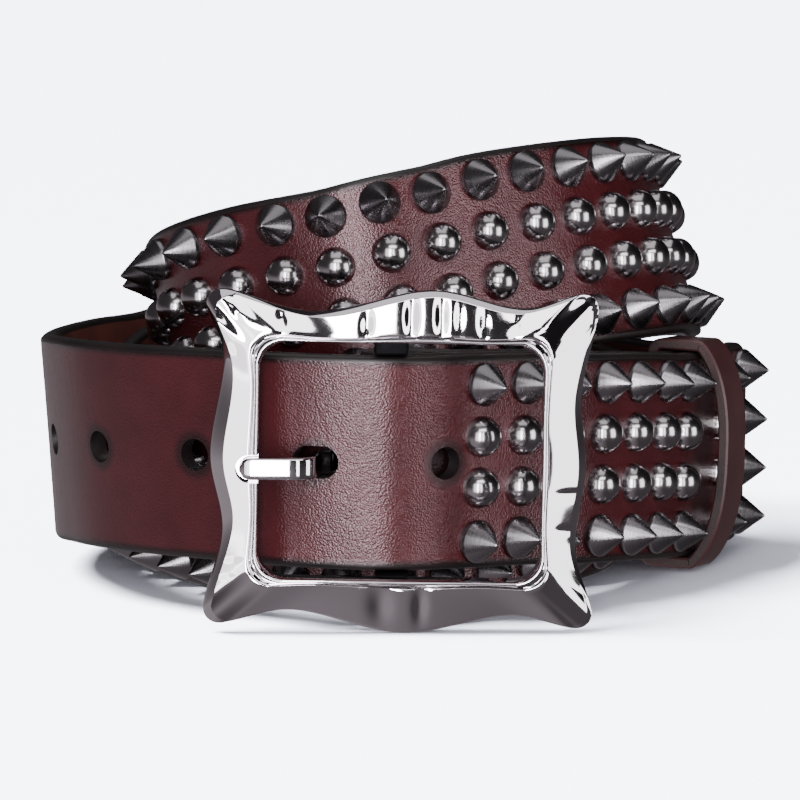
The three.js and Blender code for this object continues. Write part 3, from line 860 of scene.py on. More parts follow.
def carved(shape: bmesh.types.BMesh, tool: bmesh.types.BMesh) -> bmesh.types.BMesh:
    """Cuts one mesh out of another and frees both.

    Args:
        shape: What is cut.
        tool: What it is cut with.

    Returns:
        The mesh that is left.
    """
    meshes = [bpy.data.meshes.new(name) for name in ("blank", "cutters")]
    pieces = []
    for mesh, made in zip(meshes, (shape, tool)):
        made.to_mesh(mesh)
        made.free()
        pieces.append(bpy.data.objects.new(mesh.name, mesh))
        bpy.context.scene.collection.objects.link(pieces[-1])
    cut = pieces[0].modifiers.new("cut", "BOOLEAN")
    cut.object = pieces[1]
    cut.operation = "DIFFERENCE"
    cut.solver = "EXACT"
    graph = bpy.context.evaluated_depsgraph_get()
    left = bmesh.new()
    left.from_mesh(pieces[0].evaluated_get(graph).to_mesh())
    for piece, mesh in zip(pieces, meshes):
        bpy.data.objects.remove(piece)
        bpy.data.meshes.remove(mesh)
    return left


@dataclass
class Strap:
    """The leather strip: cut and punched flat, bent along its route, and set with studs."""

    bench: Workbench
    tip_corner: float = 6.0
    edge_round: float = 1.0
    cut_step: float = STUD_PITCH / 4
    turn_step: float = 0.9
    cone_radius: float = 3.85
    cone_height: float = 6.0
    cone_foot: float = 1.2
    dome_radius: float = 3.7
    dome_height: float = 3.6
    segments: int = 20

    @property
    def flat_length(self) -> float:
        """The strip's length from its tip to the end of its fold."""
        layout = self.bench.layout
        return layout.route.length - layout.tip + math.pi * WRAP_RADIUS + FOLD_LENGTH

    @property
    def turn_at(self) -> float:
        """The strip's length from its tip to the turn round the bar."""
        return self.bench.layout.route.length - self.bench.layout.tip

    def blank(self) -> bmesh.types.BMesh:
        """Cuts the flat strip, with its rounded tip, thickness and rounded edges."""
        bm = bmesh.new()
        bmesh.ops.create_grid(bm, x_segments=1, y_segments=1, size=0.5)
        bmesh.ops.scale(bm, vec=(self.flat_length, STRAP_WIDTH, 1), verts=bm.verts)
        bmesh.ops.translate(bm, vec=(self.flat_length / 2, 0, 0), verts=bm.verts)
        corners = [vert for vert in bm.verts if vert.co.x < 1]
        bmesh.ops.bevel(
            bm, geom=corners, offset=self.tip_corner, offset_type="OFFSET", segments=6,
            profile=0.5, affect="VERTICES", clamp_overlap=False, material=-1,
        )
        bmesh.ops.solidify(bm, geom=bm.faces[:], thickness=STRAP_THICKNESS)
        top = max(vert.co.z for vert in bm.verts)
        bmesh.ops.translate(bm, vec=(0, 0, -top), verts=bm.verts)
        bmesh.ops.recalc_face_normals(bm, faces=bm.faces)
        rims = [
            edge for edge in bm.edges
            if abs(edge.verts[0].co.z - edge.verts[1].co.z) < 0.1
            and edge.calc_face_angle(0) > 1
        ]
        bmesh.ops.bevel(
            bm, geom=rims, offset=self.edge_round, offset_type="OFFSET", segments=3,
            profile=0.5, affect="EDGES", clamp_overlap=False, material=-1,
        )
        self.score(bm)
        return bm

    def score(self, bm: bmesh.types.BMesh) -> None:
        """Cuts the strip across, where it will bend, and along, beside its edges and rows."""
        across = []
        length = self.cut_step
        while length < self.flat_length - self.turn_step:
            across.append(length)
            turning = self.turn_at - 4 < length < self.turn_at + math.pi * WRAP_RADIUS + 2
            length += self.turn_step if turning else self.cut_step
        inset = STRAP_WIDTH / 2 - self.edge_round - 0.3
        for place, normal in [
            *(((length, 0, 0), (1, 0, 0)) for length in across),
            *(((0, side, 0), (0, 1, 0)) for side in (-inset, -OUTER_ROW, 0, OUTER_ROW, inset)),
        ]:
            geometry = [*bm.verts, *bm.edges, *bm.faces]
            bmesh.ops.bisect_plane(bm, geom=geometry, dist=1e-4, plane_co=place, plane_no=normal)

    def punch(self, flat: bmesh.types.BMesh) -> bmesh.types.BMesh:
        """Punches the holes and the tongue's slot through the flat strip.

        Args:
            flat: The strip, which is freed.

        Returns:
            The punched strip.
        """
        layout = self.bench.layout
        cuts = []
        for i in range(HOLE_COUNT):
            longer = TONGUE_HOLE_LENGTH if i == TONGUE_HOLE else 2 * HOLE_RADIUS
            cuts.append((layout.first_hole + i * HOLE_PITCH - layout.tip, longer, HOLE_RADIUS))
        slot = math.pi * WRAP_RADIUS + 8
        cuts.append((self.turn_at + math.pi * WRAP_RADIUS / 2, slot, TONGUE_WIDTH / 2 + 1))
        tool = bmesh.new()
        for place, longer, radius in cuts:
            add_slug(tool, Matrix.Translation((place, 0, 0)), longer, radius, 3 * STRAP_THICKNESS)
        return carved(flat, tool)

    def mark(self, bm: bmesh.types.BMesh) -> None:
        """Gives each face its finish and its place on the flat strip."""
        surface = bm.loops.layers.uv.new("surface")
        bm.normal_update()
        for face in bm.faces:
            middle = face.calc_center_median().z
            if face.normal.z > 0.98 and middle > -0.1:
                face.material_index = 0
            elif face.normal.z < -0.98 and middle < 0.1 - STRAP_THICKNESS:
                face.material_index = 1
            else:
                face.material_index = 2
            for loop in face.loops:
                x, y, z = loop.vert.co
                loop[surface].uv = (x * MM, (y + z) * MM)

    def bend(self, bm: bmesh.types.BMesh) -> None:
        """Moves each point of the flat strip to its place along the route."""
        layout = self.bench.layout
        turn_length = math.pi * WRAP_RADIUS
        turned = self.turn_at + turn_length
        lengths = [
            self.turn_at,
            *(self.turn_at + turn_length * (i + 1) / TURN_STEPS for i in range(TURN_STEPS)),
            *(turned + FOLD_LENGTH * (i + 1) / FOLD_STEPS for i in range(FOLD_STEPS)),
        ]
        places = [layout.route.at(layout.route.length), *layout.folded]
        for vert in bm.verts:
            along, across, through = vert.co
            if along <= self.turn_at:
                place = layout.route.at(layout.tip + along)
            else:
                i = min(max(bisect_left(lengths, along), 1), len(lengths) - 1)
                share = (along - lengths[i - 1]) / (lengths[i] - lengths[i - 1])
                place = places[i - 1].blended(places[i], min(share, 1.0))
            vert.co = place.moved(through, across)

    def stud(self, outline: Sequence[tuple[float, float]], finish: int) -> bpy.types.Mesh:
        """Turns a stud from its outline.

        Args:
            outline: Radius and height of each point, from the foot to the tip.
            finish: The material number of its faces.

        Returns:
            The stud's mesh, standing on the origin.
        """
        bm = bmesh.new()
        surface = bm.loops.layers.uv.new("surface")
        spun(bm, outline, self.segments)
        for face in bm.faces:
            face.material_index = finish
            for loop in face.loops:
                x, y, z = loop.vert.co
                turned = math.atan2(y, x) if math.hypot(x, y) > 0.01 else 0.0
                loop[surface].uv = (turned * self.cone_radius * MM, z * MM)
        mesh = bpy.data.meshes.new("stud")
        bm.to_mesh(mesh)
        bm.free()
        return mesh

    def cone_outline(self) -> list[tuple[float, float]]:
        """Gives a cone's outline: a short foot, a rounded shoulder and a blunt point."""
        radius, foot, tip = self.cone_radius, self.cone_foot, self.cone_height
        return [
            (radius * 0.97, -0.5), (radius, 0.15), (radius, foot - 0.25),
            (radius - 0.12, foot), (0.5, tip - 0.42), (0.26, tip - 0.1), (0.0, tip),
        ]

    def dome_outline(self) -> list[tuple[float, float]]:
        """Gives a dome's outline: a thin rim and a round top."""
        outline = [(self.dome_radius, -0.5), (self.dome_radius, 0.3)]
        for i in range(1, 7):
            angle = math.radians(90 * i / 7)
            outline.append((
                (self.dome_radius - 0.1) * math.cos(angle),
                0.3 + (self.dome_height - 0.3) * math.sin(angle),
            ))
        return [*outline, (0.0, self.dome_height)]

    def columns(self) -> list[float]:
        """Lists how far along the route each column of studs stands, from the tip on."""
        layout = self.bench.layout
        tail = [
            layout.tip + (i + 0.5) * STUD_PITCH for i in range(TAIL_COLUMNS) if i != KEEPER_COLUMN
        ]
        last_hole = layout.first_hole + (HOLE_COUNT - 1) * HOLE_PITCH
        first = last_hole + HOLES_TO_STUDS
        count = math.ceil((layout.route.length - PLAIN_END - first) / STUD_PITCH)
        return tail + [first + i * STUD_PITCH for i in range(count)]

    def set_studs(self, bm: bmesh.types.BMesh) -> None:
        """Sets four studs on each column, each turned a little."""
        layout = self.bench.layout
        chance = random.Random(7)
        cone = self.stud(self.cone_outline(), 3)
        dome = self.stud(self.dome_outline(), 4)
        for number, length in enumerate(self.columns()):
            place = layout.route.at(length)
            inner = cone if number == 0 else dome
            rows = [(OUTER_ROW, cone), (INNER_ROW, inner), (-INNER_ROW, inner), (-OUTER_ROW, cone)]
            for up, stud in rows:
                first = len(bm.verts)
                bm.from_mesh(stud)
                bm.verts.ensure_lookup_table()
                tilt = Matrix.Rotation(math.radians(chance.uniform(-2, 2)), 4, "X")
                tilt = tilt @ Matrix.Rotation(math.radians(chance.uniform(-2, 2)), 4, "Y")
                spun = Matrix.Rotation(chance.uniform(0, math.pi), 4, "Z")
                offset = Matrix.Translation((chance.uniform(-0.15, 0.15), 0, 0))
                matrix = place.matrix(up + chance.uniform(-0.15, 0.15)) @ offset @ tilt @ spun
                bmesh.ops.transform(bm, matrix=matrix, verts=bm.verts[first:])
        for mesh in (cone, dome):
            bpy.data.meshes.remove(mesh)

    def build(self) -> None:
        """Builds the strap with its studs as one piece."""
        bm = self.punch(self.blank())
        self.mark(bm)
        self.bend(bm)
        bmesh.ops.recalc_face_normals(bm, faces=bm.faces)
        self.set_studs(bm)
        finishes = [Finish.GRAIN, Finish.FLESH, Finish.EDGE, Finish.CONE, Finish.DOME]
        self.bench.hand_in(bm, "studded_strap", finishes, "strap", "strap_leather")


@dataclass(frozen=True)
class Dent:
    """A hammer mark on the frame: its side, its middle, its size and its depth."""

    side: str
    along: float
    across: float
    length: float
    width: float
    depth: float


DENTS = [
    Dent("right", 0.12, 0.3, 0.45, 2.2, 0.035),
    Dent("right", 0.2, 0.32, 0.5, 2.4, 0.05),
    Dent("right", 0.3, 0.34, 0.6, 2.6, 0.06),
    Dent("right", 0.41, 0.36, 0.8, 3.0, 0.08),
    Dent("right", 0.78, 0.3, 0.5, 2.2, 0.04),
    Dent("right", 0.9, 0.3, 0.6, 2.4, 0.045),
    Dent("top", 0.144, 0.5, 0.8, 2.6, 0.14),
    Dent("top", 0.213, 0.45, 0.9, 2.8, 0.17),
    Dent("top", 0.29, 0.45, 0.8, 2.8, 0.16),
    Dent("top", 0.354, 0.42, 0.7, 2.4, 0.14),
    Dent("top", 0.4, 0.45, 1.0, 3.4, 0.26),
    Dent("top", 0.477, 0.45, 1.1, 3.6, 0.3),
    Dent("top", 0.59, 0.5, 0.9, 2.6, 0.2),
    Dent("top", 0.81, 0.5, 1.0, 2.8, 0.24),
    Dent("top", 0.926, 0.4, 0.7, 1.6, 0.16),
    Dent("left", 0.17, 0.5, 1.0, 1.4, 0.07),
    Dent("left", 0.8, 0.5, 0.4, 1.4, 0.05),
    Dent("left", 0.85, 0.45, 0.4, 1.2, 0.05),
    Dent("bottom", 0.455, 0.5, 1.9, 3.0, 0.6),
    Dent("bottom", 0.557, 0.5, 1.1, 2.8, 0.5),
]


@dataclass(frozen=True)
class Slope:
    """A side's section: its chamfer's width, its wall's depth and its face's fall outward.

    The first two are in millimetres, and the fall is in millimetres for each across the face.
    """

    chamfer: float
    wall: float
    fall: float

    def blended(self, other: Slope, share: float) -> Slope:
        """Gives the section between this one and another."""
        return Slope(
            self.chamfer + (other.chamfer - self.chamfer) * share,
            self.wall + (other.wall - self.wall) * share,
            self.fall + (other.fall - self.fall) * share,
        )


SLOPES = {
    "bottom": Slope(0.5, 3.9, 0.4),
    "right": Slope(1.3, 4.9, 0.5),
    "top": Slope(0.9, 3.0, 0.26),
    "left": Slope(2.5, 4.9, 0.07),
}
SIDES = tuple(SLOPES)


@dataclass
class Buckle:
    """The cast frame with its hammered face, its bar on two lugs, and the tongue."""

    bench: Workbench
    steps: int = 160
    notch_height: float = 5.0
    notch_length: float = 4.0
    notch_depth: float = 2.2
    lug_width: float = 6.0
    lug_gap: float = 0.5
    lug_seat: float = 3.0
    lug_root: float = 1.0
    most_fall: float = 4.3
    face_end: float = 0.83
    face_depth: float = 0.2
    face_bow: float = 1.06
    chamfer_bow: float = 0.8
    least_wall: float = 0.3
    corner_share: float = 0.06
    chamfer_rows: tuple[float, ...] = (0.12, 0.3, 0.5, 0.7, 0.86, 0.96)
    face_rows: tuple[float, ...] = (0.0, 0.03, 0.1, 0.2, 0.3, 0.4, 0.5, 0.6, 0.7, 0.8, 0.9, 1.0)

    # The inner bead's section: share of the way from the outline to the window, and depth
    # behind the foremost line
    bead: tuple[tuple[float, float], ...] = (
        (0.85, 0.3), (0.865, 0.55), (0.88, 0.62), (0.895, 0.5), (0.91, 0.2), (0.93, 0.04),
        (0.95, 0.0), (0.97, 0.07), (0.985, 0.25), (1.0, 0.8), (1.0, 2.5), (1.0, 5.0),
    )

    def corners(self, width: float, height: float) -> list[Vector]:
        """Gives a rectangle's corners, anticlockwise from the lower left."""
        return [
            Vector((x * width / 2, z * height / 2))
            for x, z in ((-1, -1), (1, -1), (1, 1), (-1, 1))
        ]

    def outline(self) -> list[Vector]:
        """Gives the wavy outer line, side by side from the lower left corner's middle."""
        corners = self.corners(BUCKLE_WIDTH, BUCKLE_HEIGHT)
        knots = []
        for i, side in enumerate(SIDES):
            start, end, after = corners[i], corners[(i + 1) % 4], corners[(i + 2) % 4]
            inward = Vector((start.y - end.y, end.x - start.x)).normalized()
            reach = BUCKLE_CORNER / (end - start).length
            for along, inset in ((reach, 0.0), *BUCKLE_SIDES[side], (1 - reach, 0.0)):
                knots.append(start.lerp(end, along) + inward * inset * BUCKLE_HEIGHT)
            ways = (start - end).normalized() + (after - end).normalized()
            knots.append(end + ways * BUCKLE_CORNER * (1 - math.sqrt(0.5)))
        closed = [*knots[-2:], *knots, *knots[:2]]
        line = Line([point.to_3d() for point in closed], [0.0] * len(closed))
        points = []
        per_side = len(knots) // 4
        for side in range(4):
            low = line.length_at_point(1 + side * per_side)
            high = line.length_at_point(1 + (side + 1) * per_side)
            points += [
                line.exactly(low + (high - low) * step / self.steps).xy
                for step in range(self.steps)
            ]
        return points

    def slope(self, ring: int) -> Slope:
        """Gives the section's measures at a point of the outline, blended at the corners."""
        side, step = divmod(ring, self.steps)
        share = step / self.steps
        here = SLOPES[SIDES[side]]
        other = SLOPES[SIDES[side - 1] if share < 0.5 else SIDES[(side + 1) % 4]]
        nearness = max(1 - min(share, 1 - share) / self.corner_share, 0.0)
        return here.blended(other, nearness * nearness * (3 - 2 * nearness) / 2)

    def section(self, slope: Slope, width: float) -> list[tuple[float, float]]:
        """Gives the bar's section at one place.

        Args:
            slope: The section's measures there.
            width: The distance from the outline to the window.

        Returns:
            Shares of the way from the outline to the window, with the depth at each.
        """
        chamfer = slope.chamfer / width
        fall = min(slope.fall * (self.face_end - chamfer) * width, self.most_fall)
        edge = self.face_depth + fall
        wall = max(slope.wall, edge + self.least_wall)
        rows = [(0.0, BUCKLE_THICKNESS), (0.0, wall)]
        for part in self.chamfer_rows:
            rows.append((chamfer * part, wall + (edge - wall) * part**self.chamfer_bow))
        face = self.face_end - chamfer
        for part in self.face_rows:
            fallen = fall * (1 - part) ** self.face_bow
            rows.append((chamfer + face * part, self.face_depth + fallen))
        return [*rows, *self.bead]

    def window(self) -> list[Vector]:
        """Gives the window's line with as many points as the outline, side by side."""
        corners = self.corners(WINDOW_WIDTH - 2 * WINDOW_CORNER, WINDOW_HEIGHT - 2 * WINDOW_CORNER)
        points = []
        for i in range(4):
            start, end = corners[i], corners[(i + 1) % 4]
            straight = (end - start).length
            arc = WINDOW_CORNER * math.pi / 4
            out = Vector((end.y - start.y, start.x - end.x)).normalized()
            facing = math.atan2(out.y, out.x)
            for step in range(self.steps):
                gone = (straight + 2 * arc) * step / self.steps
                if gone < arc:
                    angle, centre = facing - math.pi / 4 + gone / WINDOW_CORNER, start
                elif gone < arc + straight:
                    angle, centre = facing, start.lerp(end, (gone - arc) / straight)
                else:
                    turned = (gone - arc - straight) / WINDOW_CORNER
                    angle, centre = facing + turned, end
                around = Vector((math.cos(angle), math.sin(angle)))
                points.append(centre + around * WINDOW_CORNER)
        return points

    def dented(self, ring: int, share: float, flat: Vector) -> float:
        """Gives how deep the hammer marks are at a point of the frame.

        Args:
            ring: The point's number along the outline.
            share: Its share of the way from the outline to the window.
            flat: The point as seen from the front.

        Returns:
            The depth in millimetres.
        """
        number = ring // self.steps
        corners = self.corners(BUCKLE_WIDTH, BUCKLE_HEIGHT)
        side = corners[(number + 1) % 4] - corners[number]
        gone = (flat - corners[number]).dot(side.normalized())
        depth = 0.0
        for dent in DENTS:
            if dent.side != SIDES[number]:
                continue
            away = (gone - dent.along * side.length) / dent.length
            beside = (share - dent.across) * 9 / dent.width
            depth += dent.depth * math.exp(-(away**2) - beside**2)
        return depth if 0.02 < share <= self.face_end else 0.0

    def frame(self) -> bmesh.types.BMesh:
        """Builds the frame, its notch for the tongue, and the bar on its lugs."""
        level = self.bench.layout.bar.z
        outline, window = self.outline(), self.window()
        roll = Matrix.Rotation(math.radians(BUCKLE_ROLL), 3, "Y")
        lowest = min((roll @ Vector((p.x, 0, p.y))).z for p in outline)
        front = BUCKLE_REAR - BUCKLE_THICKNESS
        sections = [
            self.section(self.slope(i), (outer - inner).length)
            for i, (outer, inner) in enumerate(zip(outline, window))
        ]
        rings = []
        for row in range(len(sections[0])):
            ring = []
            for i, (outer, inner) in enumerate(zip(outline, window)):
                share, depth = sections[i][row]
                flat = outer.lerp(inner, share)
                point = roll @ Vector((flat.x, 0, flat.y))
                point.z -= lowest
                point.y = front + min(depth + self.dented(i, share, flat), BUCKLE_THICKNESS)
                ring.append(point)
            rings.append(ring)
        bm = bmesh.new()
        bridge_rings(bm, rings, closed=True)
        tool = bmesh.new()
        longer = 2 * self.notch_length + self.notch_height
        middle = -WINDOW_WIDTH / 2 - self.notch_length + longer / 2
        turned = Matrix.Rotation(math.pi / 2, 4, "X")
        place = Matrix.Translation((middle, front, level)) @ turned
        add_slug(tool, place, longer, self.notch_height / 2, 2 * self.notch_depth)
        bm = carved(bm, tool)
        self.add_bar(bm, -lowest, level)
        return bm

    def add_bar(self, bm: bmesh.types.BMesh, middle: float, level: float) -> None:
        """Adds the two lugs and the bar behind the window.

        Args:
            bm: The frame's mesh.
            middle: The height of the window's middle.
            level: The height of the strap's middle at the bar.
        """
        bar = self.bench.layout.bar
        top = level + STRAP_WIDTH / 2 + self.lug_gap
        foot = level - STRAP_WIDTH / 2 - self.lug_gap
        lug_top = max(middle + WINDOW_HEIGHT / 2, top) + self.lug_seat
        lug_foot = min(middle - WINDOW_HEIGHT / 2, foot) - self.lug_seat
        front = BUCKLE_REAR - self.lug_root
        depth = bar.y + BAR_RADIUS - front
        first = len(bm.faces)
        for low, high in ((top, lug_top), (lug_foot, foot)):
            size = Matrix.Diagonal((self.lug_width, depth, high - low, 1))
            centre = Matrix.Translation((BAR_X, front + depth / 2, (low + high) / 2))
            made = bmesh.ops.create_cube(bm, size=1, matrix=centre @ size)
            edges = {edge for vert in made["verts"] for edge in vert.link_edges}
            bmesh.ops.bevel(
                bm, geom=list(edges), offset=0.5, offset_type="OFFSET", segments=2,
                profile=0.5, affect="EDGES", material=-1,
            )
        bmesh.ops.create_cone(
            bm, cap_ends=True, segments=32, radius1=BAR_RADIUS, radius2=BAR_RADIUS,
            depth=top - foot + self.lug_seat,
            matrix=Matrix.Translation((BAR_X, bar.y, (top + foot) / 2)),
        )
        bm.faces.ensure_lookup_table()
        # The lugs and bar take the second finish, the near-black metal that paints in the shade
        # behind the window
        for face in bm.faces[first:]:
            face.material_index = 1

    def tongue(self) -> bmesh.types.BMesh:
        """Builds the tongue: curled round the bar, through the strap, and into the notch."""
        layout = self.bench.layout
        bar = layout.bar
        hole = layout.route.at(layout.tongue_hole).point
        ring = BAR_RADIUS + FIT + TONGUE_THICKNESS / 2
        points = []
        for degrees in range(180, -91, -30):
            angle = math.radians(degrees)
            points.append(Vector((bar.x + ring * math.cos(angle), bar.y + ring * math.sin(angle))))
        behind = bar.y - ring
        rest = BUCKLE_REAR - BUCKLE_THICKNESS + self.notch_depth - TONGUE_THICKNESS / 2 - FIT / 2
        end = -WINDOW_WIDTH / 2 - self.notch_length + 2 * FIT
        longer = TONGUE_HOLE_LENGTH
        bend = 2.0
        turned = bend * (1 - math.sqrt(0.5))
        risen = hole.x - 0.085 * longer
        points += [
            Vector((hole.x + 0.5 * longer, behind)),
            Vector((hole.x + 0.28 * longer, behind - 0.25 * longer)),
            Vector((hole.x, hole.y + 0.25 * STRAP_THICKNESS)),
            Vector((risen, rest + bend)), Vector((risen - turned, rest + turned)),
            Vector((risen - bend, rest)), Vector((1 - WINDOW_WIDTH / 2, rest)),
            Vector((end, rest)),
        ]
        line = Line([Vector((p.x, p.y, bar.z)) for p in points], [0.0] * len(points))
        rings = []
        count = 70
        for i in range(count + 1):
            length = line.length * i / count
            place = line.at(length)
            left = line.length - length
            narrow = math.sqrt(max(1 - (1 - min(left / 1.9, 1.0)) ** 2, 0.03))
            wide = TONGUE_WIDTH / 2 * narrow
            thick = TONGUE_THICKNESS / 2 * (0.6 + 0.4 * narrow)
            rings.append([place.moved(x * thick, z * wide) for x, z in self.rounded(0.3)])
        bm = bmesh.new()
        bridge_rings(bm, rings)
        return bm

    def rounded(self, corner: float) -> list[tuple[float, float]]:
        """Gives a square of half size 1 with rounded corners, as the tongue's section."""
        points = []
        for x, z, start in ((1, 1, 0), (-1, 1, 90), (-1, -1, 180), (1, -1, 270)):
            for degrees in (0, 30, 60, 90):
                angle = math.radians(start + degrees)
                points.append((
                    x * (1 - corner) + corner * math.cos(angle),
                    z * (1 - corner) + corner * math.sin(angle),
                ))
        return points

    def build(self) -> None:
        """Builds the frame and the tongue."""
        metals = [Finish.NICKEL, Finish.CAST]
        self.bench.hand_in(self.frame(), "cast_frame", metals, "buckle_frame", "buckle_metal", 50)
        nickel = [Finish.NICKEL]
        self.bench.hand_in(self.tongue(), "buckle_tongue", nickel, "tongue", "tongue_metal", 50)


@dataclass
class Keeper:
    """The closed leather loop round the tail and the buckle end."""

    bench: Workbench
    width: float = 11.0
    wall: float = 2.0
    arch: float = 4.6
    roundness: float = 1.3
    fullness: float = 2.6
    corner: float = 1.6

    def centre_line(self) -> list[tuple[float, float]]:
        """Gives the loop's middle line as distances out of the strap and up."""
        rear = -2 * STRAP_THICKNESS - LAYER_GAP - FIT - self.wall / 2
        half = STRAP_WIDTH / 2 + FIT + self.wall / 2
        corner = self.corner
        points = []
        for z, start in ((half, 90), (-half, 180)):
            for degrees in range(0, 91, 15):
                angle = math.radians(start + degrees)
                points.append((
                    rear + corner + corner * math.cos(angle),
                    z - math.copysign(corner, z) + corner * math.sin(angle),
                ))
        steps = 48
        for i in range(steps + 1):
            angle = math.pi * (i / steps - 0.5)
            out = max(math.cos(angle), 0.0) ** (2 / self.roundness)
            up = math.copysign(abs(math.sin(angle)) ** (2 / self.fullness), angle)
            points.append((FIT + (self.arch + self.wall / 2) * out, half * up))
        return points

    def build(self) -> None:
        """Builds the loop as a band with raw edges."""
        layout = self.bench.layout
        place = layout.route.at(layout.tip + (KEEPER_COLUMN + 0.5) * STUD_PITCH)
        along = place.outward.cross(place.upward)
        line = [Vector(point) for point in self.centre_line()]
        half, thick, soft = self.width / 2, self.wall / 2, 0.35
        section = [
            (-half, soft - thick), (soft - half, -thick), (0, -thick), (half - soft, -thick),
            (half, soft - thick), (half, thick - soft), (half - soft, thick), (0, thick),
            (soft - half, thick), (-half, thick - soft),
        ]
        rings = []
        for i, point in enumerate(line):
            ahead = line[(i + 1) % len(line)] - line[i - 1]
            out = Vector((ahead.y, -ahead.x)).normalized()
            ring = []
            for wide, high in section:
                flat = point + out * high
                ring.append(place.moved(flat.x, flat.y) + along * wide)
            rings.append(ring)
        bm = bmesh.new()
        bridge_rings(bm, rings, closed=True)
        for face in bm.faces:
            face.material_index = 1 if abs(face.normal.dot(along)) > 0.9 else 0
        finishes = [Finish.KEEPER, Finish.RAW_EDGE]
        self.bench.hand_in(bm, "leather_keeper", finishes, "keeper", "keeper_leather", 35)


@dataclass
class FoldRivets:
    """The two flat rivets that close the turned-back end."""

    bench: Workbench
    radius: float = 1.5
    cap_radius: float = 3.0
    cap_height: float = 1.0
    spacing: float = 20.0
    from_turn: float = 0.8 * FOLD_LENGTH
    segments: int = 32

    def build(self) -> None:
        """Builds each rivet from its outline."""
        layout = self.bench.layout
        rear = -2 * STRAP_THICKNESS - 2 * FIT
        outline = [
            (0.0, rear - self.cap_height), (self.cap_radius * 0.75, rear - self.cap_height),
            (self.cap_radius * 0.95, rear - self.cap_height * 0.6), (self.cap_radius, rear),
            (self.radius, rear), (self.radius, 0.0), (0.0, 0.0),
        ]
        for number, side in ((1, -1), (2, 1)):
            place = layout.route.at(layout.route.length - self.from_turn)
            bm = bmesh.new()
            spun(bm, outline, self.segments)
            matrix = place.matrix(side * self.spacing / 2)
            bmesh.ops.transform(bm, matrix=matrix, verts=bm.verts)
            name = f"rivet_{number}"
            self.bench.hand_in(bm, name, [Finish.RIVET], f"fold_rivet_{number}", "rivet_metal")


@dataclass(frozen=True)
class Softbox:
    """A rectangular light that faces the belt.

    Azimuth is in degrees to the right of the camera, seen from the belt, and elevation in
    degrees above the surface. The distance and the size are in metres.
    """

    name: str
    azimuth: float
    elevation: float
    away: float
    size: tuple[float, float]
    watts: float


SOFTBOXES = [
    Softbox("left_box", -22, 6, 1.2, (0.38, 1.0), 4),
    Softbox("middle_box", -10, 6, 1.2, (0.17, 1.0), 3),
    Softbox("near_box", -4, 6, 1.2, (0.12, 1.0), 15),
    Softbox("narrow_box", 14, 6, 1.2, (0.16, 1.0), 5),
    Softbox("right_box", 64, 3, 1.2, (0.56, 0.8), 8),
    Softbox("front_box", 12, 42, 1.3, (0.9, 0.3), 6),
    Softbox("top_box", 0, 92, 1.4, (1.2, 1.5), 8),
]


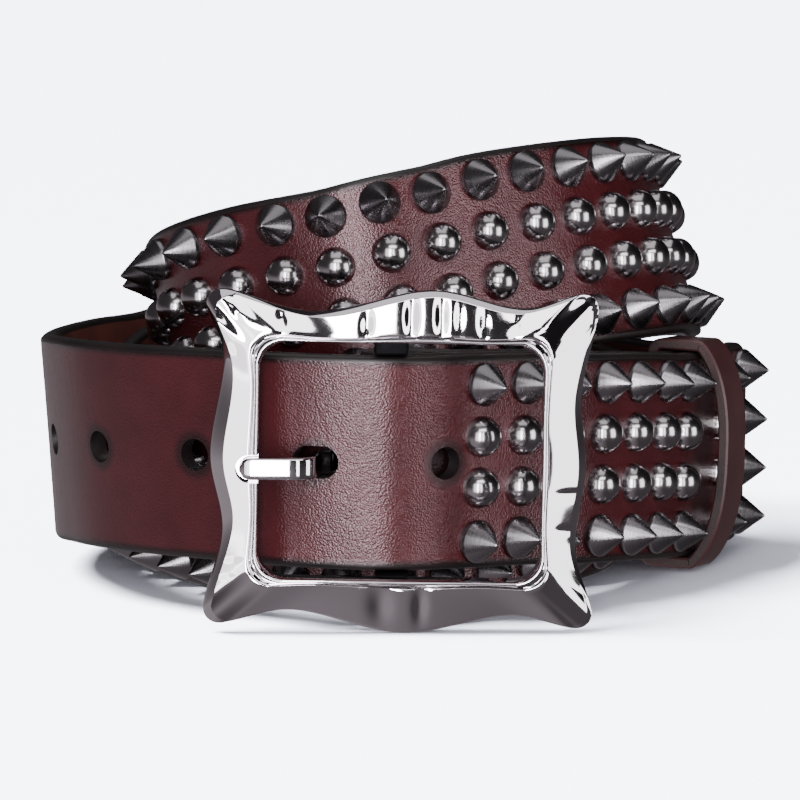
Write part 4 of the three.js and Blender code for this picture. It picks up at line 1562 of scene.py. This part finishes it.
@dataclass
class Studio:
    """The pale floor, the soft lights and the camera."""

    layout: Layout
    floor_only: bpy.types.Collection = field(init=False)
    elevation: float = 8.0
    distance: float = 1.0
    lens: float = 256.95
    aim_height: float = 41.1
    room_below: float = 0.3
    room_above: float = 0.05
    room_left: float = 1.7
    room_right: float = 0.4
    sun_strength: float = 35.0
    sun_spread: float = 30.0
    sun_tilts: tuple[float, float, float] = (8.0, -32.0, 0.0)

    def aim(self) -> Vector:
        """Gives the point that the camera looks at."""
        return self.layout.into_frame @ Vector((0, 0, self.aim_height))

    def add_camera(self) -> None:
        """Adds the camera at the photograph's angle."""
        lens = bpy.data.cameras.new("camera")
        lens.lens = self.lens
        lens.sensor_width = 36.0
        camera = bpy.data.objects.new("camera", lens)
        angle = math.radians(self.elevation)
        back = Vector((0, -math.cos(angle), math.sin(angle)))
        camera.location = self.aim() + back * self.distance
        camera.rotation_euler = (math.pi / 2 - angle, 0, 0)
        bpy.context.scene.collection.objects.link(camera)
        bpy.context.scene.camera = camera

    def add_floor(self) -> None:
        """Adds the floor that the coil stands on."""
        bm = bmesh.new()
        bmesh.ops.create_grid(bm, x_segments=1, y_segments=1, size=6)
        mesh = bpy.data.meshes.new("floor")
        bm.to_mesh(mesh)
        bm.free()
        mesh.materials.append(Lacquer().material())
        floor = bpy.data.objects.new("floor", mesh)
        floor.visible_glossy = False
        floor.visible_diffuse = False
        floor.visible_shadow = False
        bpy.context.scene.collection.objects.link(floor)
        self.floor_only = bpy.data.collections.new("floor_only")
        self.floor_only.objects.link(floor)

    def add_softbox(self, box: Softbox) -> None:
        """Adds a soft light."""
        light = bpy.data.lights.new(box.name, "AREA")
        light.shape = "RECTANGLE"
        light.size, light.size_y = box.size
        light.energy = box.watts
        lamp = bpy.data.objects.new(box.name, light)
        turn, rise = math.radians(box.azimuth), math.radians(box.elevation)
        back = Vector((
            math.sin(turn) * math.cos(rise), -math.cos(turn) * math.cos(rise), math.sin(rise)
        ))
        lamp.location = self.aim() + back * box.away
        lamp.rotation_mode = "QUATERNION"
        lamp.rotation_quaternion = back.to_track_quat("Z", "Y")
        bpy.context.scene.collection.objects.link(lamp)

    def add_sun(self) -> None:
        """Adds the wide light from above on the left, which falls on the floor alone."""
        light = bpy.data.lights.new("overhead", "SUN")
        light.energy = self.sun_strength
        light.angle = math.radians(self.sun_spread)
        sun = bpy.data.objects.new("overhead", light)
        sun.rotation_euler = [math.radians(tilt) for tilt in self.sun_tilts]
        sun.light_linking.receiver_collection = self.floor_only
        bpy.context.scene.collection.objects.link(sun)

    def add_world(self) -> None:
        """Adds a dark room, lighter below and to the left, for the reflections."""
        world = bpy.data.worlds.new("studio")
        world.use_nodes = True
        nodes, links = world.node_tree.nodes, world.node_tree.links
        where = nodes.new("ShaderNodeTexCoord")
        parts = nodes.new("ShaderNodeSeparateXYZ")
        height = nodes.new("ShaderNodeMapRange")
        side = nodes.new("ShaderNodeMapRange")
        ranges = {
            height: (-0.2, 0.1, self.room_below, self.room_above),
            side: (-0.35, 0.35, self.room_left, self.room_right),
        }
        for node, values in ranges.items():
            for name, value in zip(("From Min", "From Max", "To Min", "To Max"), values):
                node.inputs[name].default_value = value
        both = nodes.new("ShaderNodeMath")
        both.operation = "MULTIPLY"
        links.new(where.outputs["Generated"], parts.inputs["Vector"])
        links.new(parts.outputs["Z"], height.inputs["Value"])
        links.new(parts.outputs["X"], side.inputs["Value"])
        links.new(height.outputs["Result"], both.inputs[0])
        links.new(side.outputs["Result"], both.inputs[1])
        shade = nodes["Background"]
        shade.inputs["Color"].default_value = linear("#f4eaf0")
        links.new(both.outputs["Value"], shade.inputs["Strength"])
        bpy.context.scene.world = world

    def build(self) -> None:
        """Builds the studio."""
        self.add_camera()
        self.add_floor()
        for box in SOFTBOXES:
            self.add_softbox(box)
        self.add_sun()
        self.add_world()


def main() -> None:
    """Loads the frame and builds the belt piece by piece."""
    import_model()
    layout = Layout()
    LOG.info("route %.2f mm, tip at %.2f mm", layout.route.length, layout.tip)
    bench = Workbench(layout, Finishes())
    for assembly in (Strap(bench), Buckle(bench), Keeper(bench), FoldRivets(bench)):
        assembly.build()
    Studio(layout).build()


if __name__ == "__main__":
    main()
